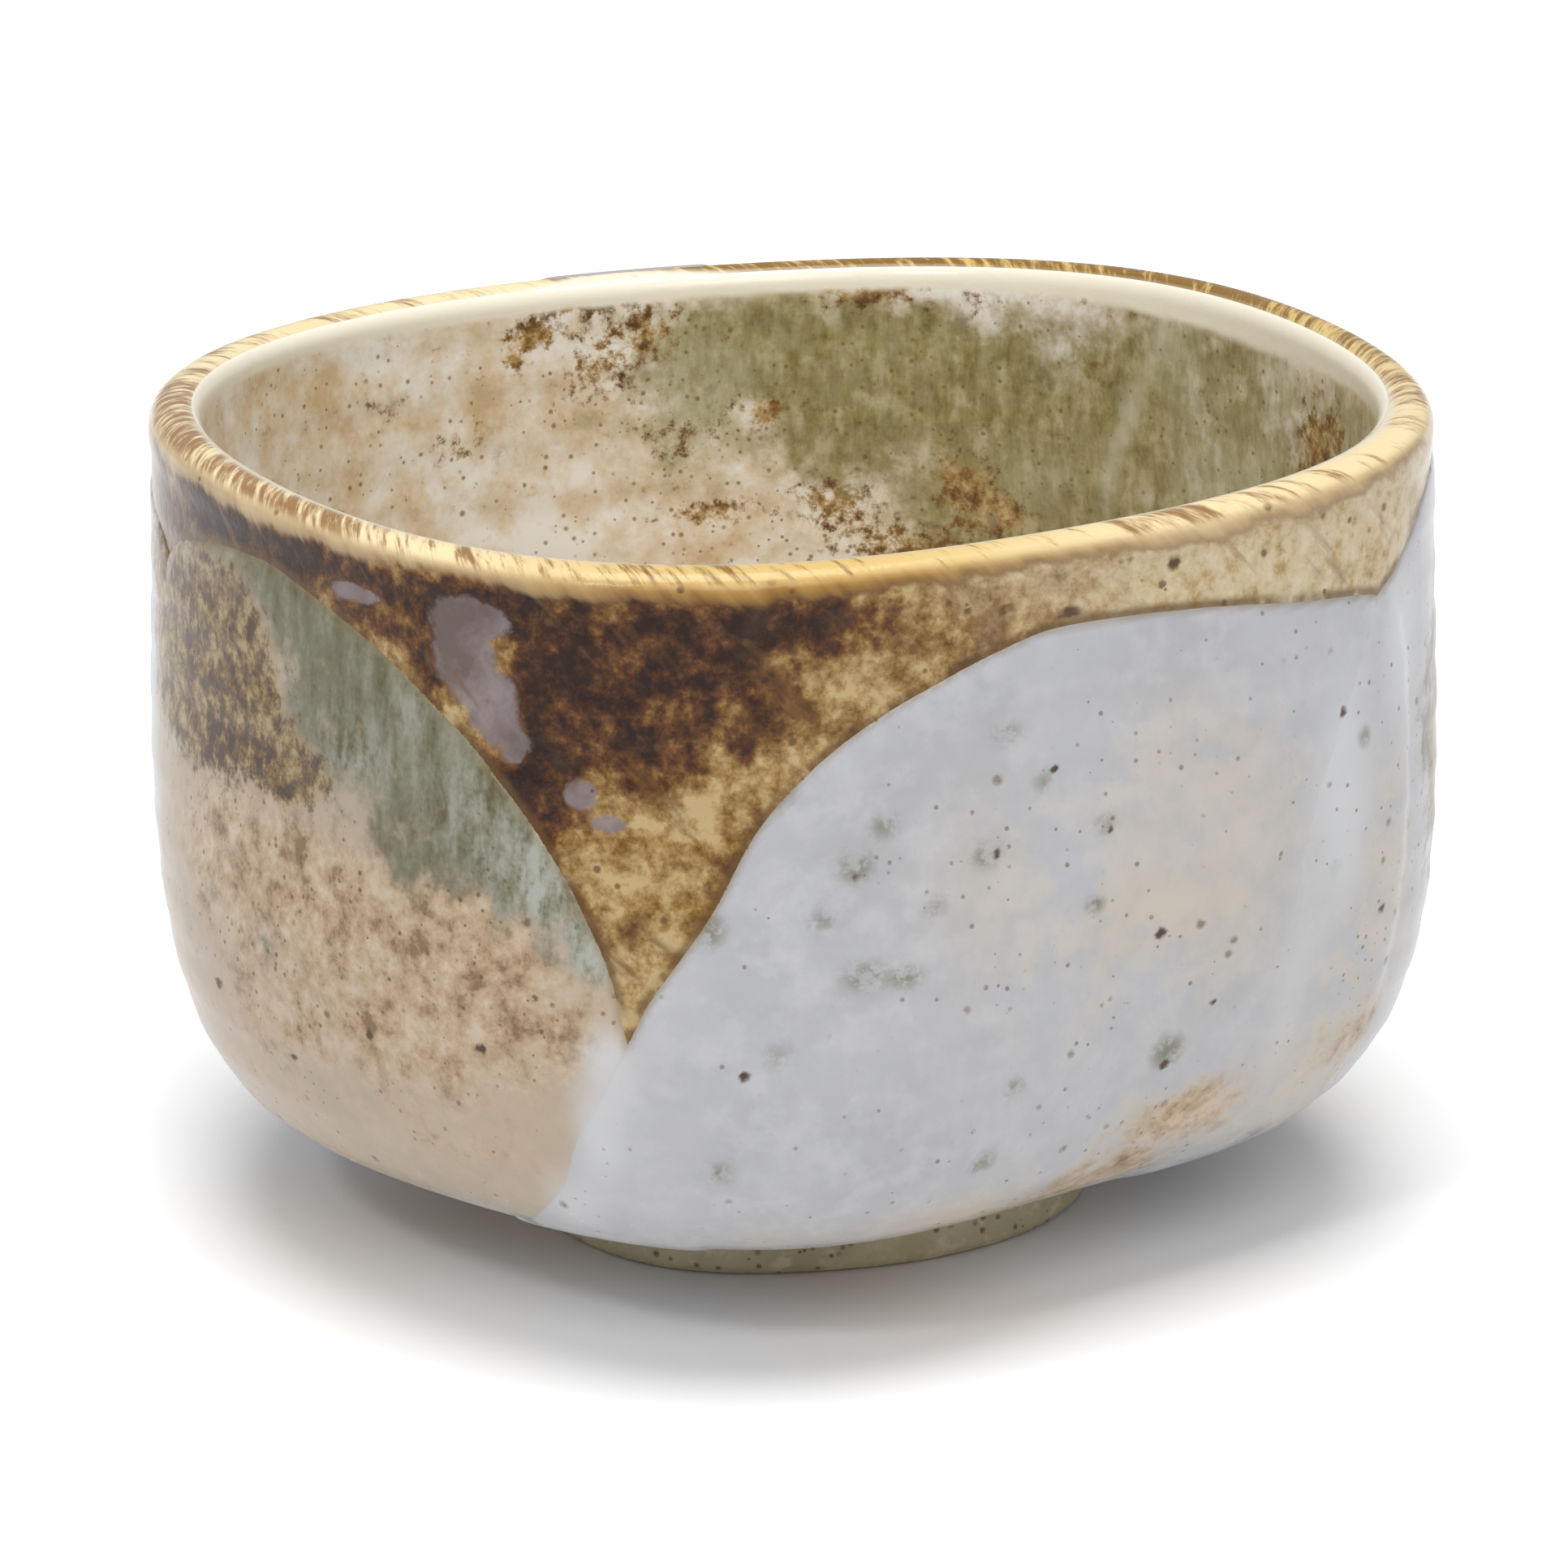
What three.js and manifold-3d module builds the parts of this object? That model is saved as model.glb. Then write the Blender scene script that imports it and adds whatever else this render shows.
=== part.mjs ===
// A hand-formed tea bowl (chawan): a clay wall and a luted-on foot ring under fused glaze coats.
// Millimetres, +Z up. The foot stands on z = 0 and the bowl's box is centred on the Z axis.
// The front of the bowl faces -Y. Angles are in degrees round +Z, measured from +X.

import * as THREE from "three";
import { mergeVertices } from "three/addons/utils/BufferGeometryUtils.js";
import Module from "manifold-3d";

const wasm = await Module();
wasm.setup();

// Driving dimensions of the bowl's section: its height, the widest ring, the slight neck over it,
// the lip, the wall between the inner and the outer surface, and the floor inside.
const HEIGHT = 78;
const BELLY = { radius: 59.2, height: 38.8 };
const NECK = { radius: 57.6, height: 60 };
const LIP_RADIUS = 58.1;
const WALL = 4.4;
const FLOOR_TOP = 11.2;
// The handles that bend the section: outside and inside the hip, and above the belly.
const HIP = { radius: 46.6, height: 8.6 };
const HIP_RISE = 9.8;
const FLOOR_REACH = 44.6;
const FLOOR_RISE = 15;
const BELLY_RISE = 52;

// The foot ring under it.
const FOOT_RADIUS = 29.2;
const FOOT_WALL = 6.4;
const FOOT_HEIGHT = 5.2;
const FOOT_EDGE = 0.6;
const FOOT_OFFSET = { x: 0.1, y: -0.4 };

// The glaze coats, and the gap left between two pieces that touch.
const COAT = 0.5;
const DIP = 0.5;
const SKIN_GAP = 0.15;
const GAP = 0.3;

// The clay floor's underside, and where the rounded hip starts, just clear of the foot.
const UNDERSIDE = FOOT_HEIGHT + GAP;
const HIP_START = { radius: FOOT_RADIUS + 2.2, height: UNDERSIDE + 0.6 };

// How finely a turned piece is faceted: steps round the bowl and along each curve of its section.
const ROUND_STEPS = 48;
const CURVE_STEPS = { hip: 8, wall: 4, lipOut: 3, lipIn: 3, inner: 4, floor: 6 };
const ARCH_STEPS = 20;
// Vertices closer than this are one.
const MERGE = 1e-4;
// The handle of a curve that turns a quarter circle, as a share of its radius.
const QUARTER_ROUND = 0.552;

// Each plan outline is a circle with soft waves: a wave has lobes, a size (a share of the radius)
// and the angle of one crest. Four lobes make the rounded square.
const LIP_PLAN = [
  { lobes: 2, size: 0.03, crest: -9 },
  { lobes: 3, size: 0.009, crest: 5 },
  { lobes: 4, size: 0.027, crest: -21 },
  { lobes: 5, size: 0.007, crest: -26 },
];
const HIP_PLAN = [
  { lobes: 2, size: 0.026, crest: 49 },
  { lobes: 3, size: 0.01, crest: 43 },
  { lobes: 4, size: 0.032, crest: -18 },
  { lobes: 5, size: 0.031, crest: -14 },
];
const FOOT_PLAN = [
  { lobes: 2, size: 0.015, crest: -51 },
  { lobes: 4, size: 0.025, crest: -19 },
  { lobes: 5, size: 0.012, crest: 22 },
];

// The hip's outline turns into the lip's between these shares of the height.
const PLAN_BLEND = { from: 0.15, to: 0.8 };

// The lip rises and falls by these shares of the height, more and more from this share upward.
const LIP_WAVES_FROM = 0.3;
const LIP_WAVES = [
  { lobes: 1, size: 0.018, crest: 50 },
  { lobes: 2, size: 0.01, crest: 12 },
];
// The hip is lifted at the front, fully at and below one share of the height.
const HIP_LIFT = { size: 0.018, crest: -90, full: 0.1, gone: 0.35 };

// The corners of the rounded square, where two dips meet, and the height at which they meet.
// A corner stands out by this much against the belly's radius.
const CORNER_BULGE = 1.04;
const CORNERS = [
  { angle: -104, meet: 34 },
  { angle: -28, meet: 65 },
  { angle: 70, meet: 38 },
  { angle: 192, meet: 67 },
];
// Each dip lies between two corners. Its upper edge is an arch over the middle of that side,
// which falls away from the crown by this power of the way to the corner.
const ARCH_POWER = 2.4;
const DIPS = [
  { name: "white_dip_front_right", from: 0, to: 1, crown: 70, colour: 0xd3d5da },
  { name: "white_dip_back_right", from: 1, to: 2, crown: 74, colour: 0xcfd2d2 },
  { name: "white_dip_back_left", from: 2, to: 3, crown: 75, colour: 0xdcdbda },
  { name: "white_dip_front_left", from: 3, to: 0, crown: 72, colour: 0xc9b7a2 },
];

const radians = THREE.MathUtils.degToRad;
const { lerp, inverseLerp, smoothstep, clamp } = THREE.MathUtils;

function waves(list, angle) {
  return list.reduce(
    (sum, wave) => sum + wave.size * Math.cos(wave.lobes * (angle - radians(wave.crest))), 0);
}

// The bowl's section, from the foot out over the hip, up the wall, round the lip and down inside.
function sectionCurves() {
  const point = (r, z) => new THREE.Vector2(r, z);
  const curve = (...points) => new THREE.CubicBezierCurve(...points);
  const round = (QUARTER_ROUND * WALL) / 2;
  const lipMiddle = LIP_RADIUS - WALL / 2;
  const lipBase = HEIGHT - WALL / 2;
  const belly = point(BELLY.radius, BELLY.height);
  const lipOutside = point(LIP_RADIUS, lipBase);
  const lipTop = point(lipMiddle, HEIGHT);
  const lipInside = point(LIP_RADIUS - WALL, lipBase);
  const bellyInside = point(BELLY.radius - WALL, BELLY.height);
  return {
    hip: curve(
      point(HIP_START.radius, HIP_START.height), point(HIP.radius, HIP.height),
      point(BELLY.radius, HIP_RISE), belly),
    wall: curve(
      belly, point(BELLY.radius, BELLY_RISE), point(NECK.radius, NECK.height), lipOutside),
    lipOut: curve(
      lipOutside, point(LIP_RADIUS, lipBase + round), point(lipMiddle + round, HEIGHT), lipTop),
    lipIn: curve(
      lipTop, point(lipMiddle - round, HEIGHT),
      point(LIP_RADIUS - WALL, lipBase + round), lipInside),
    inner: curve(
      lipInside, point(NECK.radius - WALL, NECK.height),
      point(BELLY.radius - WALL, BELLY_RISE), bellyInside),
    floor: curve(
      bellyInside, point(BELLY.radius - WALL, FLOOR_RISE),
      point(FLOOR_REACH, FLOOR_TOP), point(0, FLOOR_TOP)),
  };
}
const SECTION = sectionCurves();

// Points along named curves of the section, moved by depth to the left of travel: into the clay.
// The first point lies this share of the way along the first curve.
function sectionPoints(names, depth, from = 0) {
  const points = [];
  names.forEach((name, index) => {
    const steps = CURVE_STEPS[name];
    for (let step = index === 0 ? 0 : 1; step <= steps; step += 1) {
      const along = index === 0 ? Math.max(step / steps, from) : step / steps;
      const place = SECTION[name].getPoint(along);
      const ahead = SECTION[name].getTangent(along);
      points.push(new THREE.Vector2(place.x - ahead.y * depth, place.y + ahead.x * depth));
    }
  });
  return points;
}

// A skin between two depths under the same stretch of the section, as a closed outline.
function skinOutline(names, top, bottom) {
  const outline = [
    ...sectionPoints(names, top),
    ...sectionPoints(names, bottom).reverse(),
  ];
  return [...outline, outline[0].clone()];
}

// Moves a point of a turned shape from the round section to the bowl's uneven outline.
function bodyShape(r, z, angle) {
  const rise = z / HEIGHT;
  const blend = smoothstep(rise, PLAN_BLEND.from, PLAN_BLEND.to);
  const plan = lerp(waves(HIP_PLAN, angle), waves(LIP_PLAN, angle), blend);
  const tilt = waves(LIP_WAVES, angle) * clamp(inverseLerp(LIP_WAVES_FROM, 1, rise), 0, 1);
  const lift = HIP_LIFT.size * Math.cos(angle - radians(HIP_LIFT.crest));
  const low = clamp(inverseLerp(HIP_LIFT.gone, HIP_LIFT.full, rise), 0, 1);
  const fade = low * smoothstep(r, HIP_START.radius, HIP.radius);
  return { r: r * (1 + plan), z: z + HEIGHT * (tilt + lift * fade) };
}

function footShape(r, z, angle) {
  return { r: r * (1 + waves(FOOT_PLAN, angle)), z };
}

// Spins an outline of (radius, height) points round Z and moves it to the given shape.
function turned(outline, shape, offset = { x: 0, y: 0 }) {
  const lathe = new THREE.LatheGeometry(outline, ROUND_STEPS);
  lathe.rotateX(Math.PI / 2);
  lathe.deleteAttribute("normal");
  lathe.deleteAttribute("uv");
  const place = lathe.attributes.position;
  for (let i = 0; i < place.count; i += 1) {
    const angle = Math.atan2(place.getY(i), place.getX(i));
    const moved = shape(Math.hypot(place.getX(i), place.getY(i)), place.getZ(i), angle);
    const x = offset.x + moved.r * Math.cos(angle);
    const y = offset.y + moved.r * Math.sin(angle);
    place.setXYZ(i, x, y, moved.z);
  }
  splitFacetsAlike(lathe);
  return mergeVertices(lathe, MERGE);
}

// Splits each four-sided facet along its shorter diagonal, so that nested skins never cross.
function splitFacetsAlike(lathe) {
  const place = lathe.attributes.position;
  const at = (i) => new THREE.Vector3().fromBufferAttribute(place, i);
  const index = lathe.index.array;
  for (let i = 0; i < index.length; i += 6) {
    const [a, b, d, c] = index.slice(i, i + 4);
    const acrossIsShorter = at(a).distanceTo(at(c)) < at(b).distanceTo(at(d));
    index.set(acrossIsShorter ? [a, b, c, c, d, a] : [a, b, d, c, d, b], i);
  }
}

function toSolid(geometry) {
  const plain = geometry.clone();
  plain.deleteAttribute("normal");
  plain.deleteAttribute("uv");
  const merged = mergeVertices(plain, MERGE);
  return new wasm.Manifold(new wasm.Mesh({
    numProp: 3,
    vertProperties: new Float32Array(merged.attributes.position.array),
    triVerts: new Uint32Array(merged.index.array),
  }));
}

function toGeometry(solid) {
  const mesh = solid.getMesh();
  const geometry = new THREE.BufferGeometry();
  geometry.setAttribute("position", new THREE.BufferAttribute(mesh.vertProperties, 3));
  geometry.setIndex(new THREE.BufferAttribute(mesh.triVerts, 1));
  return geometry;
}

function part(name, geometry, colour, roughness) {
  const finished = geometry.clone();
  finished.computeVertexNormals();
  const material = new THREE.MeshStandardMaterial({ color: colour, roughness, metalness: 0 });
  const mesh = new THREE.Mesh(finished, material);
  mesh.name = name;
  return mesh;
}

// The thrown clay wall and floor, one coat below the bowl's surface all over.
function stonewareBody() {
  const depth = COAT + SKIN_GAP;
  const skin = sectionPoints(["hip", "wall", "lipOut", "lipIn", "inner", "floor"], depth);
  skin[skin.length - 1].x = 0;
  const underside = [
    new THREE.Vector2(0, UNDERSIDE),
    new THREE.Vector2(HIP_START.radius - GAP - SKIN_GAP, UNDERSIDE),
  ];
  const outline = [...underside, ...skin];
  return part("stoneware_body", turned(outline, bodyShape), 0xb59a7a, 0.9);
}

// The foot ring, with its edges eased and a flat face to stand on.
function footRing() {
  const outer = FOOT_RADIUS - COAT - SKIN_GAP;
  const inner = FOOT_RADIUS - FOOT_WALL;
  const point = (r, z) => new THREE.Vector2(r, z);
  const outline = [
    point(inner + FOOT_EDGE, 0),
    point(outer - FOOT_EDGE, 0),
    point(outer, FOOT_EDGE),
    point(outer, FOOT_HEIGHT),
    point(inner - FOOT_EDGE, FOOT_HEIGHT),
    point(inner, FOOT_EDGE),
  ];
  outline.push(outline[0].clone());
  return part("foot_ring", turned(outline, footShape, FOOT_OFFSET), 0x9c8566, 0.9);
}

// The thin coat on the foot's outer side, clear of the face it stands on.
function footGlaze() {
  const inner = FOOT_RADIUS - COAT;
  const point = (r, z) => new THREE.Vector2(r, z);
  const outline = [
    point(inner, FOOT_EDGE * 1.5),
    point(FOOT_RADIUS, FOOT_EDGE * 2),
    point(FOOT_RADIUS, FOOT_HEIGHT),
    point(inner, FOOT_HEIGHT),
  ];
  outline.push(outline[0].clone());
  return part("foot_glaze", turned(outline, footShape, FOOT_OFFSET), 0x8f8c6c, 0.3);
}

// The brown iron glaze outside, carried over the lip.
function ironGlaze() {
  const outline = skinOutline(["hip", "wall", "lipOut", "lipIn"], 0, COAT);
  return part("iron_base_glaze", turned(outline, bodyShape), 0x8a6231, 0.2);
}

// The glaze inside the bowl, from the inner edge of the lip to the middle of the floor.
function linerGlaze() {
  const start = (2 * GAP) / (HEIGHT - BELLY.height);
  const top = sectionPoints(["inner", "floor"], 0, start);
  const bottom = sectionPoints(["inner", "floor"], COAT, start);
  top[top.length - 1].x = 0;
  bottom[bottom.length - 1].x = 0;
  return part("liner_glaze", turned([...bottom.reverse(), ...top], bodyShape), 0xb3a888, 0.2);
}

// A tall block between two corners. Its tip lies off the axis, which keeps it clear of both.
function sideWedge(from, to) {
  const reach = 3 * BELLY.radius;
  const at = (radius, angle) => new THREE.Vector2(Math.cos(angle), Math.sin(angle)).multiplyScalar(radius);
  const middle = (from + to) / 2;
  const outline = new THREE.Shape([
    at(GAP, middle), at(reach, from), at(reach, middle), at(reach, to),
  ]);
  const block = new THREE.ExtrudeGeometry(outline, { depth: 2 * HEIGHT, bevelEnabled: false });
  block.translate(0, 0, -HEIGHT / 2);
  return toSolid(block);
}

// A block with an arched top, run outward through one side of the bowl.
function archBlock(from, to, meetFrom, meetTo, crown) {
  const middle = (from + to) / 2;
  const half = (to - from) / 2;
  const cornerRadius = BELLY.radius * CORNER_BULGE;
  const reach = cornerRadius * Math.sin(half);
  const outline = new THREE.Shape();
  outline.moveTo(-cornerRadius, -HEIGHT);
  for (let step = 0; step <= ARCH_STEPS; step += 1) {
    const along = lerp(-1, 1, step / ARCH_STEPS);
    const meet = along < 0 ? meetFrom : meetTo;
    outline.lineTo(reach * along, crown - (crown - meet) * Math.abs(along) ** ARCH_POWER);
  }
  outline.lineTo(cornerRadius, -HEIGHT);
  const block = new THREE.ExtrudeGeometry(outline, { depth: 2 * BELLY.radius, bevelEnabled: false });
  block.rotateX(Math.PI / 2);
  block.rotateZ(middle + Math.PI / 2);
  return toSolid(block);
}

// The four white dips: one proud skin round the outside, cut to an arch on each side.
function whiteDips() {
  const outline = skinOutline(["hip", "wall"], -SKIN_GAP - DIP, -SKIN_GAP);
  const skin = toSolid(turned(outline, bodyShape));
  return DIPS.map((dip) => {
    const start = CORNERS[dip.from];
    const end = CORNERS[dip.to];
    const from = radians(start.angle);
    const to = radians(end.angle < start.angle ? end.angle + 360 : end.angle);
    const wedge = sideWedge(from, to);
    const arch = archBlock(from, to, start.meet, end.meet, dip.crown);
    const piece = skin.intersect(wedge).intersect(arch);
    return part(dip.name, toGeometry(piece), dip.colour, 0.15);
  });
}

// Stands the bowl on z = 0 with its box centred on the axis.
function centred(parts) {
  const bowl = new THREE.Group();
  bowl.name = "tea_bowl";
  bowl.add(...parts);
  const box = new THREE.Box3().setFromObject(bowl, true);
  const middle = box.getCenter(new THREE.Vector3());
  bowl.position.set(-middle.x, -middle.y, -box.min.z);
  bowl.updateMatrixWorld(true);
  return bowl;
}

export default centred([
  stonewareBody(), footRing(), footGlaze(), ironGlaze(), linerGlaze(), ...whiteDips(),
]);
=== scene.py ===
import math

import bpy
import numpy as np
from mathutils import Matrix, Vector


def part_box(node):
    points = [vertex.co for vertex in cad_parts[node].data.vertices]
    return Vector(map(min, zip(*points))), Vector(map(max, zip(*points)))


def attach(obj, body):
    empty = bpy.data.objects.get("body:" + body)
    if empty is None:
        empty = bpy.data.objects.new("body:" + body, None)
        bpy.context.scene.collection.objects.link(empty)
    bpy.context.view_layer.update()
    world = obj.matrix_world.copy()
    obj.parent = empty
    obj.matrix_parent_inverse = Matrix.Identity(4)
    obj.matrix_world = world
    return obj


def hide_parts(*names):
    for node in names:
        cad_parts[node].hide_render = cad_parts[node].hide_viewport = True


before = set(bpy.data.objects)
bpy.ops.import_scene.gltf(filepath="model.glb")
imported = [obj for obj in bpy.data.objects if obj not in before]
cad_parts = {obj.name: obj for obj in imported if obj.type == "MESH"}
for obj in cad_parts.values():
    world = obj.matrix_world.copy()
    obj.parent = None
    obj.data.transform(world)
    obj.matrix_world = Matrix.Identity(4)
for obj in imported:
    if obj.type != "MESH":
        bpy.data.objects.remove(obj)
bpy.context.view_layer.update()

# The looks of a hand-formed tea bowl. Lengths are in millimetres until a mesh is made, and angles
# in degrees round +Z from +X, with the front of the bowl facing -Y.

MM = 0.001

# The bowl's section: the same driving dimensions as the CAD model's. The hip's handles, and the
# foot's radius and offset, are rounded results of a fit.
HEIGHT = 78.0
BELLY = (59.2, 38.8)
NECK = (57.6, 60.0)
LIP_RADIUS = 58.1
WALL = 4.4
FLOOR_TOP = 11.2
HIP = (46.6, 8.6)
HIP_RISE = 9.8
FLOOR_REACH = 44.6
FLOOR_RISE = 15.0
BELLY_RISE = 52.0
HIP_START = (31.4, 6.1)
QUARTER_ROUND = 0.552

FOOT_RADIUS = 29.2
FOOT_WALL = 6.4
FOOT_HEIGHT = 5.2
FOOT_OFFSET = (0.1, -0.4)
UNDERSIDE = 5.5

# Plan outlines as waves on a circle: lobes, size as a share of the radius, angle of one crest.
# These sizes and crests are rounded results of a least-squares fit, and were not chosen by hand.
LIP_PLAN = [(2, 0.030, -9), (3, 0.009, 5), (4, 0.027, -21), (5, 0.007, -26)]
HIP_PLAN = [(2, 0.026, 49), (3, 0.010, 43), (4, 0.032, -18), (5, 0.031, -14)]
FOOT_PLAN = [(2, 0.015, -51), (4, 0.025, -19), (5, 0.012, 22)]
PLAN_BLEND = (0.15, 0.8)
LIP_WAVES = [(1, 0.018, 50), (2, 0.010, 12)]
LIP_WAVES_FROM = 0.3
HIP_LIFT = {"size": 0.018, "crest": -90, "full": 0.1, "gone": 0.35}

# How far each coat stands proud of the nominal surface, and how deep its hidden back lies.
BASE_RISE = 0.2
DIP_RISE = 0.32
BACK_DEPTH = 0.25

# Fineness of the meshes: columns round the bowl, and millimetres between rows.
COLUMNS = 600
ROW_STEP = 0.6
HIDDEN_STEP = 4.0
CURVE_SAMPLES = 400

# The clay's surface lies this far below the nominal one.
CLAY_DEPTH = 0.6
# A dip's edge is rounded over the first of these, sinks by the second for each millimetre outside
# it, and its mesh reaches the third beyond it.
EDGE_ROUNDING = 0.7
EDGE_SINK = 0.46
EDGE_MARGIN = 0.7
# The roll of glaze under the lip fades out this far below the lip's nominal height.
ROLL_HEIGHT = 2.8


# ---- shape

def smooth(value, low, high):
    share = np.clip((value - low) / (high - low), 0, 1)
    return share * share * (3 - 2 * share)


def waves(plan, angle):
    return sum(size * np.cos(lobes * (angle - math.radians(crest))) for lobes, size, crest in plan)


def section_curves():
    """Control points of each curve of the section, from the foot out, up, over the lip and in."""
    bend = QUARTER_ROUND * WALL / 2
    lip_middle = LIP_RADIUS - WALL / 2
    lip_base = HEIGHT - WALL / 2
    inside = LIP_RADIUS - WALL
    return {
        "root": [(FOOT_RADIUS + 0.2, FOOT_HEIGHT - 0.7), (FOOT_RADIUS + 0.3, FOOT_HEIGHT + 0.4),
                 (HIP_START[0] - 0.8, HIP_START[1] - 0.2), HIP_START],
        "hip": [HIP_START, HIP, (BELLY[0], HIP_RISE), BELLY],
        "wall": [BELLY, (BELLY[0], BELLY_RISE), NECK, (LIP_RADIUS, lip_base)],
        "lip_out": [(LIP_RADIUS, lip_base), (LIP_RADIUS, lip_base + bend),
                    (lip_middle + bend, HEIGHT), (lip_middle, HEIGHT)],
        "lip_in": [(lip_middle, HEIGHT), (lip_middle - bend, HEIGHT),
                   (inside, lip_base + bend), (inside, lip_base)],
        "inner": [(inside, lip_base), (NECK[0] - WALL, NECK[1]),
                  (BELLY[0] - WALL, BELLY_RISE), (BELLY[0] - WALL, BELLY[1])],
        "floor": [(BELLY[0] - WALL, BELLY[1]), (BELLY[0] - WALL, FLOOR_RISE),
                  (FLOOR_REACH, FLOOR_TOP), (0, FLOOR_TOP)],
    }


CURVES = section_curves()


def curve_rows(name, step):
    """Rows evenly spaced along one curve: radius, height and the outward normal of each."""
    start, handle_a, handle_b, end = (np.array(point) for point in CURVES[name])
    fine = np.linspace(0, 1, CURVE_SAMPLES)
    share = fine[:, None]
    rest = 1 - share
    points = (rest**3 * start + 3 * rest**2 * share * handle_a
              + 3 * rest * share**2 * handle_b + share**3 * end)
    travel = (rest**2 * (handle_a - start) + 2 * rest * share * (handle_b - handle_a)
              + share**2 * (end - handle_b))
    travel /= np.linalg.norm(travel, axis=1)[:, None]
    lengths = np.concatenate([[0], np.cumsum(np.linalg.norm(np.diff(points, axis=0), axis=1))])
    wanted = np.linspace(0, lengths[-1], max(int(lengths[-1] / step), 3) + 1)
    at = np.interp(wanted, lengths, np.arange(len(fine)))
    pick = [np.interp(at, np.arange(len(fine)), column)
            for column in (points[:, 0], points[:, 1], travel[:, 1], -travel[:, 0])]
    return np.stack(pick, 1)


def rows_along(*parts):
    """Rows of several (curve, step) parts, one after another, with shared ends kept once."""
    stretches = [curve_rows(name, step) for name, step in parts]
    return np.concatenate([stretches[0]] + [stretch[1:] for stretch in stretches[1:]])


def body_shape(radius, height, angle):
    """Moves points of the round section to the bowl's uneven, softly square outline."""
    rise = height / HEIGHT
    blend = smooth(rise, *PLAN_BLEND)
    plan = waves(HIP_PLAN, angle) * (1 - blend) + waves(LIP_PLAN, angle) * blend
    tilt = waves(LIP_WAVES, angle) * np.clip((rise - LIP_WAVES_FROM) / (1 - LIP_WAVES_FROM), 0, 1)
    low = np.clip((HIP_LIFT["gone"] - rise) / (HIP_LIFT["gone"] - HIP_LIFT["full"]), 0, 1)
    lift = HIP_LIFT["size"] * np.cos(angle - math.radians(HIP_LIFT["crest"]))
    lift = lift * low * smooth(radius, HIP_START[0], HIP[0])
    wide = radius * (1 + plan)
    return np.stack([wide * np.cos(angle), wide * np.sin(angle), height + HEIGHT * (tilt + lift)], -1)


def foot_shape(radius, height, angle):
    wide = radius * (1 + waves(FOOT_PLAN, angle))
    x = FOOT_OFFSET[0] + wide * np.cos(angle)
    y = FOOT_OFFSET[1] + wide * np.sin(angle)
    return np.stack([x, y, height + 0 * angle], -1)


def hand_marks(rows, angle):
    """Shallow throwing rings, uneven round the bowl, and the broad presses that squared it."""
    height = rows[:, 1][:, None]
    rings = np.sin(height * 1.02 + 1.3 * np.sin(angle + 0.4) + 0.7 * np.sin(2 * angle))
    fine = np.sin(height * 2.3 + 0.9 * np.sin(3 * angle + 1.0))
    broad = np.sin(3 * angle + height * 0.045) * np.sin(height * 0.11 + 2 * angle)
    marks = 0.06 * rings + 0.02 * fine + 0.12 * broad
    return marks * smooth(rows[:, 0][:, None], HIP_START[0], HIP[0])


def body_points(rows, angle, rise):
    """Points over a grid of rows and angles, raised off the nominal surface by rise."""
    proud = rise + hand_marks(rows, angle)
    radius = rows[:, 0][:, None] + rows[:, 2][:, None] * proud
    height = rows[:, 1][:, None] + rows[:, 3][:, None] * proud
    points = body_shape(radius, height, angle + 0 * radius)
    foot = foot_shape(radius, height, angle + 0 * radius)
    join = smooth(rows[:, 0][:, None, None], FOOT_RADIUS + 0.2, HIP_START[0] + 3)
    return foot * (1 - join) + points * join if rows[0, 0] < HIP_START[0] else points


# ---- meshes

def finish_mesh(name, points, faces, attributes, material):
    mesh = bpy.data.meshes.new(name)
    mesh.from_pydata((points * MM).tolist(), [], faces)
    mesh.polygons.foreach_set("use_smooth", np.ones(len(mesh.polygons), bool))
    for label, values in attributes.items():
        kind = "FLOAT_VECTOR" if values.ndim == 2 else "FLOAT"
        layer = mesh.attributes.new(label, kind, "POINT")
        layer.data.foreach_set("vector" if values.ndim == 2 else "value",
                               np.ascontiguousarray(values, np.float32).ravel())
    mesh.materials.append(material)
    mesh.validate()
    piece = bpy.data.objects.new(name, mesh)
    bpy.context.scene.collection.objects.link(piece)
    return piece


def grid_faces(row_count, column_count, closed_rows):
    """Four-sided faces of a grid that runs all the way round, and closes on itself if asked."""
    last = row_count if closed_rows else row_count - 1
    row, column = np.meshgrid(np.arange(last), np.arange(column_count), indexing="ij")
    above = (row + 1) % row_count
    beside = (column + 1) % column_count
    corners = [row * column_count + column, row * column_count + beside,
               above * column_count + beside, above * column_count + column]
    return np.stack([corner.ravel() for corner in corners], 1).tolist()


def turned_piece(name, points, attributes, material, poles=False):
    """A closed piece that runs all round: a closed loop of rows, or rows that end on the axis."""
    rows, columns = points.shape[:2]
    flat = points.reshape(-1, 3)
    faces = grid_faces(rows, columns, closed_rows=not poles)
    layers = {label: values.reshape(rows * columns, *values.shape[2:])
              for label, values in attributes.items()}
    if poles:
        ends = [points[0].mean(0), points[-1].mean(0)]
        flat = np.concatenate([flat, ends])
        first, last = rows * columns, rows * columns + 1
        for column in range(columns):
            beside = (column + 1) % columns
            faces.append([first, beside, column])
            faces.append([last, (rows - 1) * columns + column, (rows - 1) * columns + beside])
        layers = {label: np.concatenate([values, [values[:columns].mean(0), values[-columns:].mean(0)]])
                  for label, values in layers.items()}
    return finish_mesh(name, flat, faces, layers, material)


def without_corner_touches(kept):
    """Fills cells so that no two kept cells meet only at a corner."""
    kept = kept.copy()
    while True:
        a, b, c, d = kept[:-1, :-1], kept[:-1, 1:], kept[1:, :-1], kept[1:, 1:]
        touch = (a & d & ~b & ~c) | (b & c & ~a & ~d)
        if not touch.any():
            return kept
        for part in (a, b, c, d):
            part |= touch


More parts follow.
